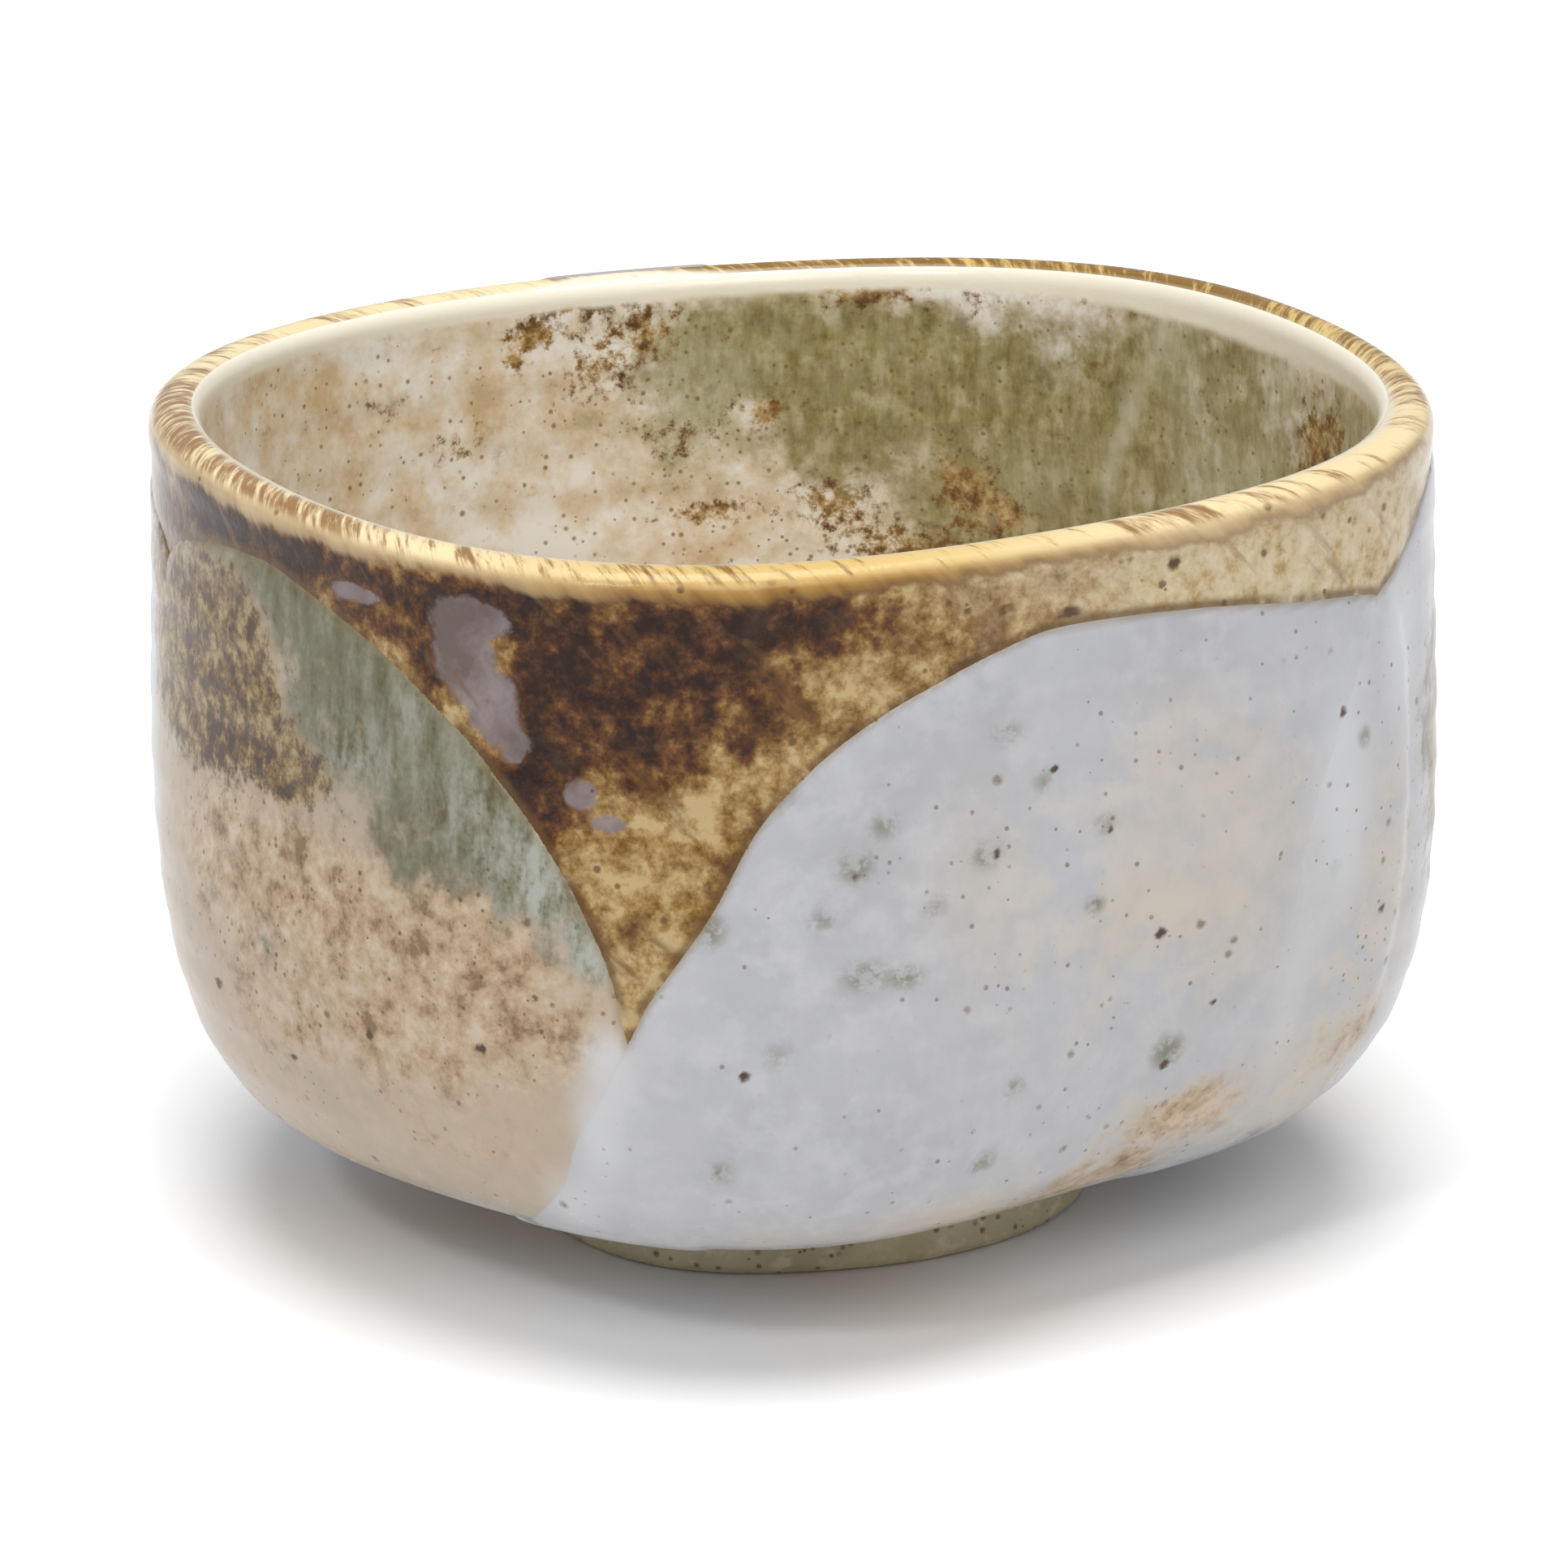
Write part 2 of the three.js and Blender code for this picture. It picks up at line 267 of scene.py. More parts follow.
def cut_piece(name, front, back, kept, attributes, material):
    """A closed shell over the kept cells of a grid, with a front, a back and walls between."""
    rows, columns = front.shape[:2]
    kept = without_corner_touches(kept)
    index = np.arange(rows * columns).reshape(rows, columns)
    behind = index + rows * columns
    a, b, c, d = (index[:-1, :-1], index[:-1, 1:], index[1:, 1:], index[1:, :-1])
    e, f, g, h = (behind[:-1, :-1], behind[:-1, 1:], behind[1:, 1:], behind[1:, :-1])
    around = np.pad(kept, 1)
    open_below = kept & ~around[:-2, 1:-1]
    open_above = kept & ~around[2:, 1:-1]
    open_before = kept & ~around[1:-1, :-2]
    open_after = kept & ~around[1:-1, 2:]
    quads = [
        (kept, (a, b, c, d)), (kept, (h, g, f, e)),
        (open_below, (a, e, f, b)), (open_above, (d, c, g, h)),
        (open_before, (a, d, h, e)), (open_after, (c, b, f, g)),
    ]
    faces = np.concatenate([np.stack([corner[mask] for corner in corners], 1)
                            for mask, corners in quads])
    used, faces = np.unique(faces, return_inverse=True)
    faces = faces.reshape(-1, 4).tolist()
    points = np.concatenate([front.reshape(-1, 3), back.reshape(-1, 3)])[used]
    layers = {}
    for label, values in attributes.items():
        flat = values.reshape(rows * columns, *values.shape[2:])
        layers[label] = np.concatenate([flat, flat])[used]
    return finish_mesh(name, points, faces, layers, material)


# ---- where the glazes lie

# Each dip's outline, as (angle, nominal height) points joined by a smooth curve, clockwise from
# its lower left. An outline goes below the foot, where the bowl ends. A dip lies over the ones that
# it names. The upper edges of the two front dips, and back_right's from -28.3 to -15.5 degrees, are
# points that another program printed, five of them moved a little. The rest were chosen one by one.
BELOW = -30
DIPS = {
    "front_left": {
        "replaces": "white_dip_front_left", "slot": "celadon_glaze", "over": [],
        "window": (-200, -80),
        "outline": [
            (-181, BELOW), (-181, 10), (-180, 40), (-176, 58), (-168, 67), (-158.5, 70.5),
            (-148, 71.9), (-141, 71.5), (-129.5, 68.2), (-119.5, 62.1), (-113, 55.4),
            (-108.5, 48.9), (-105, 41.3), (-103.3, 34.2), (-101, 26), (-99, 12), (-99, BELOW)],
    },
    "front_right": {
        "replaces": "white_dip_front_right", "slot": "white_glaze", "over": ["front_left"],
        "window": (-150, -10),
        "outline": [
            (-126, BELOW), (-124, 6), (-117, 12), (-111, 18), (-108.5, 24), (-106, 29),
            (-103.7, 33.8), (-101.5, 38.7), (-96.5, 46.6), (-92.5, 54.3), (-87.5, 59.8),
            (-81.5, 64), (-75.5, 66.7), (-70, 68.7), (-64.5, 70), (-56.5, 69.9), (-48, 69.1),
            (-39, 67.5), (-28, 65.1), (-24, 60), (-23, 40), (-24, 12), (-24, BELOW)],
    },
    "back_right": {
        "replaces": "white_dip_back_right", "slot": "white_glaze", "over": ["front_right"],
        "window": (-60, 90),
        "outline": [
            (-42, BELOW), (-42, 12), (-41, 22), (-40, 32), (-38.8, 40), (-37.6, 47), (-34.5, 54.5),
            (-31, 61), (-28.3, 65.1), (-25.5, 66.5), (-23, 68.4), (-20, 70.5), (-15.5, 72.3),
            (-5, 73.6), (10, 74), (25, 73.4), (37, 71), (47, 66.5), (55, 60), (61, 52.5),
            (66, 44.5), (70, 38), (73, 28), (75, 12), (75, BELOW)],
    },
    "back_left": {
        "replaces": "white_dip_back_left", "slot": "white_glaze", "over": ["back_right"],
        "window": (50, 205),
        "outline": [
            (64, BELOW), (65, 12), (67, 24), (69, 33), (71, 39), (75, 48), (80, 57), (86, 66),
            (92, 73), (98, 78), (106, 79.5), (114, 78.5), (120, 76.2), (130, 75.2), (142, 75),
            (155, 74), (168, 72.3), (180, 70), (190, 67.6), (193, 63), (193.5, 45), (192, 20),
            (190, BELOW)],
    },
}
OUTLINE_STEPS = 6


def flat_place(angle, height):
    """Where a point of the outside lies when the bowl is rolled out flat, in millimetres."""
    rows = rows_along(("root", 0.5), ("hip", 0.5), ("wall", 0.5), ("lip_out", 0.5))
    steps = np.linalg.norm(np.diff(rows[:, :2], axis=0), axis=1)
    along = np.concatenate([[0], np.cumsum(steps)])
    risen = np.interp(height, rows[:, 1], along)
    risen = np.where(height < rows[0, 1], height - rows[0, 1], risen)
    return np.radians(angle) * BELLY[0], risen


def smooth_line(points):
    """A Catmull-Rom curve through points."""
    points = np.array(points, float)
    padded = np.concatenate([[2 * points[0] - points[1]], points, [2 * points[-1] - points[-2]]])
    share = np.linspace(0, 1, OUTLINE_STEPS, endpoint=False)[:, None]
    pieces = []
    for before, start, end, after in zip(padded, padded[1:], padded[2:], padded[3:]):
        pieces.append(0.5 * (2 * start + (end - before) * share
                             + (2 * before - 5 * start + 4 * end - after) * share**2
                             + (3 * start - before - 3 * end + after) * share**3))
    return np.concatenate(pieces + [points[-1:]])


def depth_inside(outline, angle, height):
    """Distance of points to a closed outline on the rolled-out wall: above 0 inside it."""
    line = smooth_line(outline)
    corners = np.stack(flat_place(line[:, 0], line[:, 1]), 1)
    x, y = flat_place(angle, height)
    nearest = np.full(x.shape, np.inf)
    inside = np.zeros(x.shape, bool)
    for (ax, ay), (bx, by) in zip(corners, np.roll(corners, -1, axis=0)):
        dx, dy = bx - ax, by - ay
        share = np.clip(((x - ax) * dx + (y - ay) * dy) / (dx * dx + dy * dy + 1e-12), 0, 1)
        nearest = np.minimum(nearest, (x - ax - share * dx)**2 + (y - ay - share * dy)**2)
        if dy:
            crosses = ((ay > y) != (by > y)) & (x < ax + (y - ay) * dx / dy)
            inside ^= crosses
    return np.where(inside, 1, -1) * np.sqrt(nearest)


def spots(layout, angle, height):
    """A soft patchwork from 0 to 1: each spot has an angle, height, half width in degrees, half
    height in millimetres and a strength."""
    clear = np.ones(np.broadcast(angle, height).shape)
    for middle, level, wide, tall, strength in layout:
        across = (angle - middle + 180) % 360 - 180
        clear = clear * (1 - strength * np.exp(-(across / wide)**2 - ((height - level) / tall)**2))
    return 1 - clear


# Patches of the dipped glaze outside.
DIP_LAYOUT = {
    "milk": [
        (-177, 34, 7, 20, 0.8), (-106, 25, 3, 6, 0.8), (-105, 33, 2.5, 4, 0.8), (-110, 17, 3.5, 4, 0.7),
        (-118, 9, 16, 4, 1), (-140, 8, 14, 2.5, 0.5), (-34, 48, 4, 14, 0.9), (-25, 60, 4, 10, 0.8),
        (-38, 30, 2.5, 10, 0.5), (67, 28, 5, 14, 0.7)],
    "cream": [
        (-52, 56, 12, 6, 0.6), (-56, 40, 15, 11, 0.85), (-70, 48, 8, 8, 0.45), (-44, 46, 6, 12, 0.5),
        (-70, 13, 14, 3.5, 1), (-50, 18, 13, 6, 1), (-30, 24, 8, 14, 1), (-27, 42, 5, 10, 0.7),
        (-94, 12, 6, 3, 0.6), (15, 25, 25, 10, 0.6), (50, 50, 12, 10, 0.5), (110, 30, 18, 9, 0.6),
        (150, 52, 16, 10, 0.5)],
    "peach": [
        (-135, 42, 17, 8, 1), (-151, 42, 11, 7, 1), (-117, 40, 9, 9, 1), (-125, 31, 14, 6, 0.7),
        (-142, 29, 13, 6, 0.6), (-108, 34, 4, 5, 0.6), (-120, 21, 10, 4, 0.4), (-150, 22, 10, 4, 0.3),
        (-46, 19, 8, 3.5, 1), (-68, 9, 14, 2.6, 1), (-54, 13, 9, 3, 1), (-84, 6.5, 10, 1.6, 0.9),
        (-26, 22, 6, 7, 0.6), (20, 16, 30, 5, 0.6), (130, 16, 30, 5, 0.5)],
    "green": [
        (-130, 63, 9, 8, 1), (-120, 57, 8, 8.5, 1), (-111, 50.5, 6, 7, 1), (-106, 44, 3.5, 4.5, 0.9),
        (-140, 69, 9, 5, 1), (-153, 70, 8, 3, 0.9), (-138, 58, 6, 6, 0.8), (-125, 50, 6, 5, 0.5),
        (-13, 48, 7, 14, 1), (35, 60, 10, 9, 0.5), (160, 60, 8, 7, 0.3)],
    "light": [
        (-111, 49, 5, 7, 0.9), (-106, 41, 4, 7, 1), (-131, 57, 5, 4, 0.6), (-118, 55, 4, 5, 0.5),
        (-124, 62, 3, 3, 0.4)],
    "olive": [
        (-168, 65, 9, 7, 0.9), (-153, 65, 8, 6, 1), (-149, 58, 8, 7, 1), (-159, 54, 9, 6, 1),
        (-167, 56, 6, 5, 0.7), (-140, 53.5, 6, 3.5, 1), (-12, 47, 6, 13, 0.6)],
    "burnt": [
        (-155, 58, 9, 3, 0.8), (-152, 52.5, 9, 3, 1), (-140, 53.5, 5, 2.5, 0.9),
        (-163, 65, 7, 5, 0.7), (-149, 66, 7, 4, 0.5)],
    "specked": [
        (-140, 44, 16, 7, 1), (-122, 43, 10, 8, 1), (-112, 38, 5, 7, 0.9), (-150, 37, 12, 7, 0.7),
        (-130, 31, 16, 7, 0.6), (-152, 60, 12, 8, 0.6), (-135, 16, 30, 8, 0.3), (-58, 12, 24, 7, 0.5),
        (-60, 44, 22, 18, 0.3), (-26, 36, 8, 20, 0.6), (-13, 46, 8, 14, 1), (30, 30, 30, 14, 0.4),
        (130, 35, 30, 14, 0.4)],
    "blot": [
        (-97.5, 47, 1.2, 1.1, 0.9), (-84, 50.5, 1.5, 1.3, 1), (-81.5, 54, 1.2, 1, 0.8),
        (-90.5, 57, 1.2, 0.9, 0.8), (-72, 50, 1.3, 1, 1), (-83.5, 40.5, 1.8, 1.2, 1),
        (-80, 40, 1.5, 0.9, 1), (-69.5, 61, 1.4, 0.9, 0.7), (-69.5, 27.5, 1, 1, 0.8),
        (-96, 22, 1, 1, 0.9), (-92, 57.5, 1.2, 0.9, 0.9), (-144, 36, 1.4, 1.5, 1), (-87, 46, 1.3, 1, 0.7),
        (-153.7, 38.5, 1.4, 0.9, 0.8), (-159, 32.5, 1, 1.3, 0.5), (-66, 56, 1, 0.9, 0.7),
        (-60, 51, 1.2, 1, 0.6), (-91, 34, 1.2, 1, 0.5), (-77, 46, 1, 1, 0.6)],
    "dot": [
        (-54, 39.4, 0.75, 0.7, 1), (-93.7, 32, 0.6, 0.6, 1), (-51.5, 25.5, 0.7, 0.75, 1),
        (-71, 50, 0.6, 0.6, 0.9), (-34, 56, 0.55, 0.55, 1), (-65, 57, 0.55, 0.5, 1),
        (-27, 35, 0.65, 0.6, 0.9), (-24, 29, 0.65, 0.55, 0.9), (-117, 32.2, 0.7, 0.7, 1),
        (-130, 30.5, 0.6, 0.6, 1), (-153.5, 29, 0.9, 0.6, 1), (-141.5, 25, 0.8, 0.6, 0.9),
        (-47, 31, 0.5, 0.5, 0.8), (-59.5, 50.5, 0.5, 0.5, 0.8), (-84, 49.5, 0.5, 0.5, 0.8)],
}

# Patches of the iron glaze, which shows in the windows between the dips and under the lip.
IRON_LAYOUT = {
    "dark": [
        (-106, 68, 8, 7, 1), (-97, 68, 7, 6, 0.95), (-112.5, 60, 2.5, 8, 1), (-92, 66, 3, 4, 0.7),
        (-104, 61, 4, 5, 0.9), (-103, 73.5, 18, 2.6, 1), (-145, 73.5, 34, 2.6, 1), (-110, 55, 1.5, 5, 0.8),
        (-172, 71, 10, 4, 1), (-97, 59, 2, 2, 0.5), (-180, 67, 5, 3, 0.6), (-122, 66.5, 3, 3, 0.7),
        (-129, 70, 5, 2, 0.8),
        (70, 64, 12, 9, 0.9), (92, 75, 14, 4, 0.7), (60, 76, 40, 1.5, 0.8)],
    "ochre": [
        (-103, 47, 5, 8, 1), (-98, 56, 5, 5, 0.9), (-88, 66, 5, 6, 0.2)],
    "buff": [
        (-50, 72, 18, 7, 0.85), (-30, 70, 14, 8, 1), (-70, 76, 8, 3, 0.4), (0, 75, 24, 6, 0.9),
        (-176, 68, 4, 3, 0.6), (140, 76, 30, 3, 0.8)],
    # Painted reflection of a window on the glossy brown glaze, as lavender-grey patches.
    "painted_reflection": [
        (-119, 69, 3, 4.5, 1), (-115.5, 64.5, 2.8, 4, 1), (-117.5, 72.5, 4, 2, 1),
        (-113.5, 61, 1.6, 2, 0.8), (-107.5, 57.5, 1.8, 1.6, 1), (-131, 72.3, 4, 1, 0.9),
        (-105, 54.8, 1.8, 0.9, 1), (-138, 71, 6, 1, 0.4)],
    "pale_lip": [
        (-150, 77, 26, 9, 0.75), (170, 77, 40, 9, 1), (125, 77, 20, 9, 0.9), (-50, 77, 22, 9, 0.7),
        (-18, 77, 24, 9, 0.75), (-124, 77, 16, 9, 0.75)],
    "stroked": [
        (-145, 78, 38, 3, 0.75), (180, 78, 40, 3, 0.6), (38, 78, 34, 4, 1), (88, 78, 35, 4, 1),
        (0, 78, 14, 3, 0.5), (-45, 78, 25, 3, 0.6), (-100, 78, 14, 3, 0.4)],
    "dot": [
        (-52.5, 74, 0.8, 0.8, 1), (-63, 71.2, 1.8, 0.7, 0.9), (-69.5, 72.5, 1.2, 0.6, 0.7),
        (-57, 75, 1, 0.5, 0.6)],
}

# Patches of the glaze inside.
LINER_LAYOUT = {
    "olive": [
        (72, 66, 22, 11, 1), (48, 62, 13, 14, 1), (92, 70, 10, 5, 0.95), (62, 50, 14, 10, 0.95),
        (32, 66, 12, 10, 0.95), (18, 60, 12, 10, 0.9), (8, 70, 8, 6, 0.6), (60, 30, 60, 12, 0.6),
        (84, 60, 6, 6, 0.6), (101, 70, 9, 7, 0.6), (0, 12, 360, 4, 0.5)],
    "mist": [
        (34, 57, 8, 8, 0.9), (0, 66, 10, 10, 0.9), (40, 71, 5, 6, 0.6), (22, 72, 6, 4, 0.8),
        (60, 76, 30, 1.5, 0.4), (26, 62, 4, 6, 0.6), (100, 64, 10, 9, 0.7), (60, 57, 10, 4, 0.4)],
    "rust": [
        (69.5, 55, 3.5, 3.5, 1), (65, 52, 4, 2.5, 0.9), (84, 53, 5, 3, 0.75), (118.5, 73, 3.5, 1.6, 1),
        (113, 76, 5, 1.2, 0.9), (121, 71, 1.4, 1.4, 0.9), (112, 68, 4, 3, 0.6), (106, 72, 6, 4, 0.6),
        (98, 52.5, 5, 1.3, 0.8), (92, 63, 3.5, 2, 0.75), (14, 66, 4, 5, 1), (9, 70, 3, 3, 0.6),
        (80, 75, 7, 1.8, 0.7), (76, 48, 8, 3, 0.7), (66, 74, 3, 2, 0.5), (52, 68, 2, 1.5, 0.5),
        (102, 60, 4, 3, 0.5), (128, 62, 3, 2, 0.5), (137, 67, 3, 2, 0.35), (150, 58, 5, 2, 0.4),
        (200, 40, 20, 8, 0.4), (-40, 45, 15, 8, 0.5)],
    "specked": [
        (150, 66, 25, 10, 0.6), (105, 62, 14, 14, 0.9), (70, 60, 16, 12, 0.5), (82, 50, 14, 7, 1),
        (20, 66, 16, 8, 0.7), (250, 40, 60, 20, 0.5), (0, 12, 360, 6, 0.5)],
}
# A run of thinner glaze inside, from just under the lip down to the left.
RUN_TOP = (41, 77)
RUN_FOOT = (52, 57)
RUN_SPOTS = 9
LINER_LAYOUT["run"] = [
    (angle, height, 1.0, 2.4, 0.6)
    for angle, height in np.linspace(RUN_TOP, RUN_FOOT, RUN_SPOTS)]


# ---- materials

GLAZE_IOR = 1.5
PLAIN_SPECULAR = 0.5
# A cell gets its speck gradually over this much of its random draw.
SPECK_CHANCE_EDGE = 0.08


class Glaze:
    """A procedural glaze in the making. Colours are linear, and scales are per metre."""

    def __init__(self, name):
        self.material = bpy.data.materials.new(name)
        self.material.use_nodes = True
        self.tree = self.material.node_tree
        self.shader = self.tree.nodes["Principled BSDF"]
        self.place = self.node("ShaderNodeTexCoord").outputs["Object"]

    def node(self, kind, fed=None, **settings):
        made = self.tree.nodes.new(kind)
        for label, value in settings.items():
            setattr(made, label, value)
        for label, value in (fed or {}).items():
            self.feed(made.inputs[label], value)
        return made

    def feed(self, socket, value):
        if isinstance(value, bpy.types.NodeSocket):
            self.tree.links.new(value, socket)
        elif isinstance(value, tuple):
            socket.default_value = (*value, 1)
        else:
            socket.default_value = value

    def layer(self, name):
        return self.node("ShaderNodeAttribute", attribute_name=name).outputs["Fac"]

    def vector_layer(self, name):
        return self.node("ShaderNodeAttribute", attribute_name=name).outputs["Vector"]

    def maths(self, operation, a, b):
        return self.node("ShaderNodeMath", {0: a, 1: b}, operation=operation).outputs[0]

    def times(self, a, b):
        return self.maths("MULTIPLY", a, b)

    def scaled(self, value, gain, offset):
        """A value times a gain, with an offset added."""
        fed = {0: value, 1: gain, 2: offset}
        return self.node("ShaderNodeMath", fed, operation="MULTIPLY_ADD").outputs[0]

    def total(self, *values):
        added = values[0]
        for value in values[1:]:
            added = self.maths("ADD", added, value)
        return added

    def tones(self, value, *stops):
        """A run of colours along a value: each stop is a place from 0 to 1 and a colour."""
        made = self.node("ShaderNodeValToRGB")
        self.feed(made.inputs["Fac"], value)
        knots = made.color_ramp.elements
        while len(knots) < len(stops):
            knots.new(0.5)
        for knot, (place, colour) in zip(knots, stops):
            knot.position = place
            knot.color = (*colour, 1)
        return made.outputs["Color"]

    def noise(self, scale, detail, roughness, at=None):
        fed = {"Vector": at or self.place, "Scale": scale, "Detail": detail, "Roughness": roughness}
        return self.node("ShaderNodeTexNoise", fed).outputs["Fac"]

    def between(self, value, low, high):
        """0 up to low, 1 from high on, smooth between them."""
        fed = {"Value": value, "From Min": low, "From Max": high}
        return self.node("ShaderNodeMapRange", fed, interpolation_type="SMOOTHSTEP").outputs["Result"]

    def mix(self, share, a, b):
        fed = {"Factor": share, "A": a, "B": b}
        return self.node("ShaderNodeMix", fed, data_type="RGBA").outputs["Result"]

    def broken(self, share, grain, wander, softness):
        """A patch whose edge breaks up along a grain: wander is how far the grain reaches."""
        moved = self.maths("ADD", share, self.scaled(grain, wander, -wander / 2))
        return self.between(moved, 0.5 - softness, 0.5 + softness)

    def patch(self, name, grain, wander, softness):
        """A layer of patches from the mesh, with broken edges."""
        return self.broken(self.layer(name), grain, wander, softness)

    def paint(self, colour, name, grain, wander, softness, top):
        return self.mix(self.patch(name, grain, wander, softness), colour, top)

    def specks(self, scale, density, small, large, softness):
        """Round specks, one at most in each cell: radii are shares of a cell's size."""
        cells = self.node("ShaderNodeTexVoronoi", {"Vector": self.place, "Scale": scale}, feature="F1")
        draw = self.node("ShaderNodeSeparateColor", {"Color": cells.outputs["Color"]})
        chosen = self.between(self.maths("SUBTRACT", density, draw.outputs["Red"]), 0.0, SPECK_CHANCE_EDGE)
        radius = self.scaled(draw.outputs["Green"], large - small, small)
        core = self.times(radius, 1 - softness)
        dot = self.between(cells.outputs["Distance"], radius, core)
        return self.times(chosen, dot)

    def bump(self, height, distance, strength=1.0, below=None):
        fed = {"Strength": strength, "Distance": distance, "Height": height}
        if below:
            fed["Normal"] = below
        return self.node("ShaderNodeBump", fed).outputs["Normal"]

    def finish(self, colour, roughness, normal, specular=PLAIN_SPECULAR):
        self.feed(self.shader.inputs["Base Color"], colour)
        self.feed(self.shader.inputs["Roughness"], roughness)
        self.feed(self.shader.inputs["Normal"], normal)
        self.shader.inputs["IOR"].default_value = GLAZE_IOR
        self.shader.inputs["Specular IOR Level"].default_value = specular
        return self.material


def gloss(glaze, grain, smoothest, roughest):
    """Roughness that follows a grain between two values."""
    return glaze.scaled(grain, roughest - smoothest, smoothest)


def dipped_glaze(name, ground):
    """The thick pale dips: a milky ground with cream, peach, celadon and olive patches."""
    glaze = Glaze(name)
    cloud = glaze.noise(60, 5, 0.6)
    mottle = glaze.noise(280, 5, 0.62)
    grain = glaze.noise(620, 6, 0.7)
    fine = glaze.noise(1500, 4, 0.6)
    many = glaze.layer("specked")
    milk = (0.50, 0.505, 0.52)
    cream = (0.48, 0.43, 0.355)
    colour = glaze.mix(glaze.between(cloud, 0.38, 0.66), ground, tuple(c * 0.9 for c in ground))
    colour = glaze.mix(glaze.between(mottle, 0.4, 0.7), colour, tuple(c * 1.08 for c in ground))
    clouded = glaze.between(glaze.total(cloud, glaze.scaled(mottle, 0.6, -0.3)), 0.34, 0.62)
    clouded = glaze.times(clouded, glaze.layer("cream"))
    colour = glaze.mix(clouded, colour, cream)
    # Peach, dappled brown where the iron of the clay came through.
    dapple = glaze.total(glaze.scaled(grain, 1.9, -0.65), glaze.scaled(mottle, 2.0, -1.0),
                         glaze.scaled(many, 0.22, -0.04))
    peach = glaze.tones(dapple, (0.0, (0.49, 0.40, 0.30)), (0.3, (0.425, 0.315, 0.21)),
                        (0.55, (0.345, 0.24, 0.145)), (0.85, (0.19, 0.115, 0.055)))
    colour = glaze.paint(colour, "peach", mottle, 0.8, 0.4, peach)
    # Celadon, which runs a little down the wall.
    fall = glaze.noise(500, 5, 0.65, at=glaze.vector_layer("running"))
    running = glaze.total(glaze.scaled(fall, 2.4, -0.8), glaze.scaled(fine, 0.8, -0.3))
    celadon = glaze.tones(running, (0.0, (0.21, 0.205, 0.145)), (0.4, (0.145, 0.14, 0.09)),
                          (0.75, (0.115, 0.105, 0.055)), (1.0, (0.085, 0.068, 0.025)))
    light = glaze.times(glaze.layer("light"), glaze.between(running, 0.9, 0.1))
    celadon = glaze.mix(light, celadon, (0.35, 0.355, 0.31))
    colour = glaze.paint(colour, "green", mottle, 1.5, 0.25, celadon)
    # Olive and burnt brown, broken up finely.
    scorch = glaze.total(glaze.scaled(grain, 3.4, -1.35), glaze.scaled(mottle, 1.6, -0.8),
                         glaze.scaled(glaze.layer("burnt"), 0.34, 0.0))
    olive = glaze.tones(scorch, (0.0, (0.31, 0.24, 0.12)), (0.3, (0.215, 0.145, 0.05)),
                        (0.55, (0.13, 0.065, 0.012)), (0.85, (0.045, 0.02, 0.004)))
    colour = glaze.paint(colour, "olive", mottle, 0.8, 0.3, (0.30, 0.222, 0.115))
    colour = glaze.paint(colour, "olive", grain, 1.6, 0.22, olive)
    colour = glaze.paint(colour, "milk", cloud, 0.9, 0.5, milk)
    # Faint grey-green blots, then brown iron specks, both from the clay under the coat.
    soft_blots = glaze.specks(120, 0.30, 0.14, 0.34, 0.9)
    blot = glaze.maths("MAXIMUM", soft_blots, glaze.layer("blot"))
    colour = glaze.mix(glaze.times(blot, 0.4), colour, (0.24, 0.245, 0.205))
    blot = glaze.times(blot, glaze.between(grain, 0.42, 0.56))
    colour = glaze.mix(glaze.times(blot, 0.85), colour, (0.15, 0.145, 0.10))
    brown = (0.12, 0.065, 0.025)
    gathered = glaze.between(glaze.noise(130, 3, 0.5), 0.36, 0.58)
    density = glaze.times(glaze.scaled(many, 1.3, 0.12), gathered)
    large = glaze.specks(330, density, 0.04, 0.25, 0.7)
    small = glaze.specks(950, glaze.scaled(density, 1.3, 0.0), 0.06, 0.34, 0.6)
    both = glaze.maths("MAXIMUM", small, large)
    both = glaze.times(both, glaze.between(fine, 0.3, 0.5))
    colour = glaze.mix(glaze.times(both, glaze.scaled(many, 0.35, 0.6)), colour, brown)
    colour = glaze.paint(colour, "dot", grain, 0.6, 0.2, (0.07, 0.04, 0.02))
    # The coat thins at its bare edge, and the brown glaze below warms it.
    colour = glaze.mix(glaze.times(glaze.layer("thin"), 0.65), colour, (0.22, 0.17, 0.10))
    normal = glaze.bump(glaze.noise(420, 3, 0.5), 0.00007)
    normal = glaze.bump(glaze.maths("SUBTRACT", 1.0, large), 0.00005, 0.6, normal)
    return glaze.finish(colour, gloss(glaze, mottle, 0.14, 0.34), normal, specular=0.27)


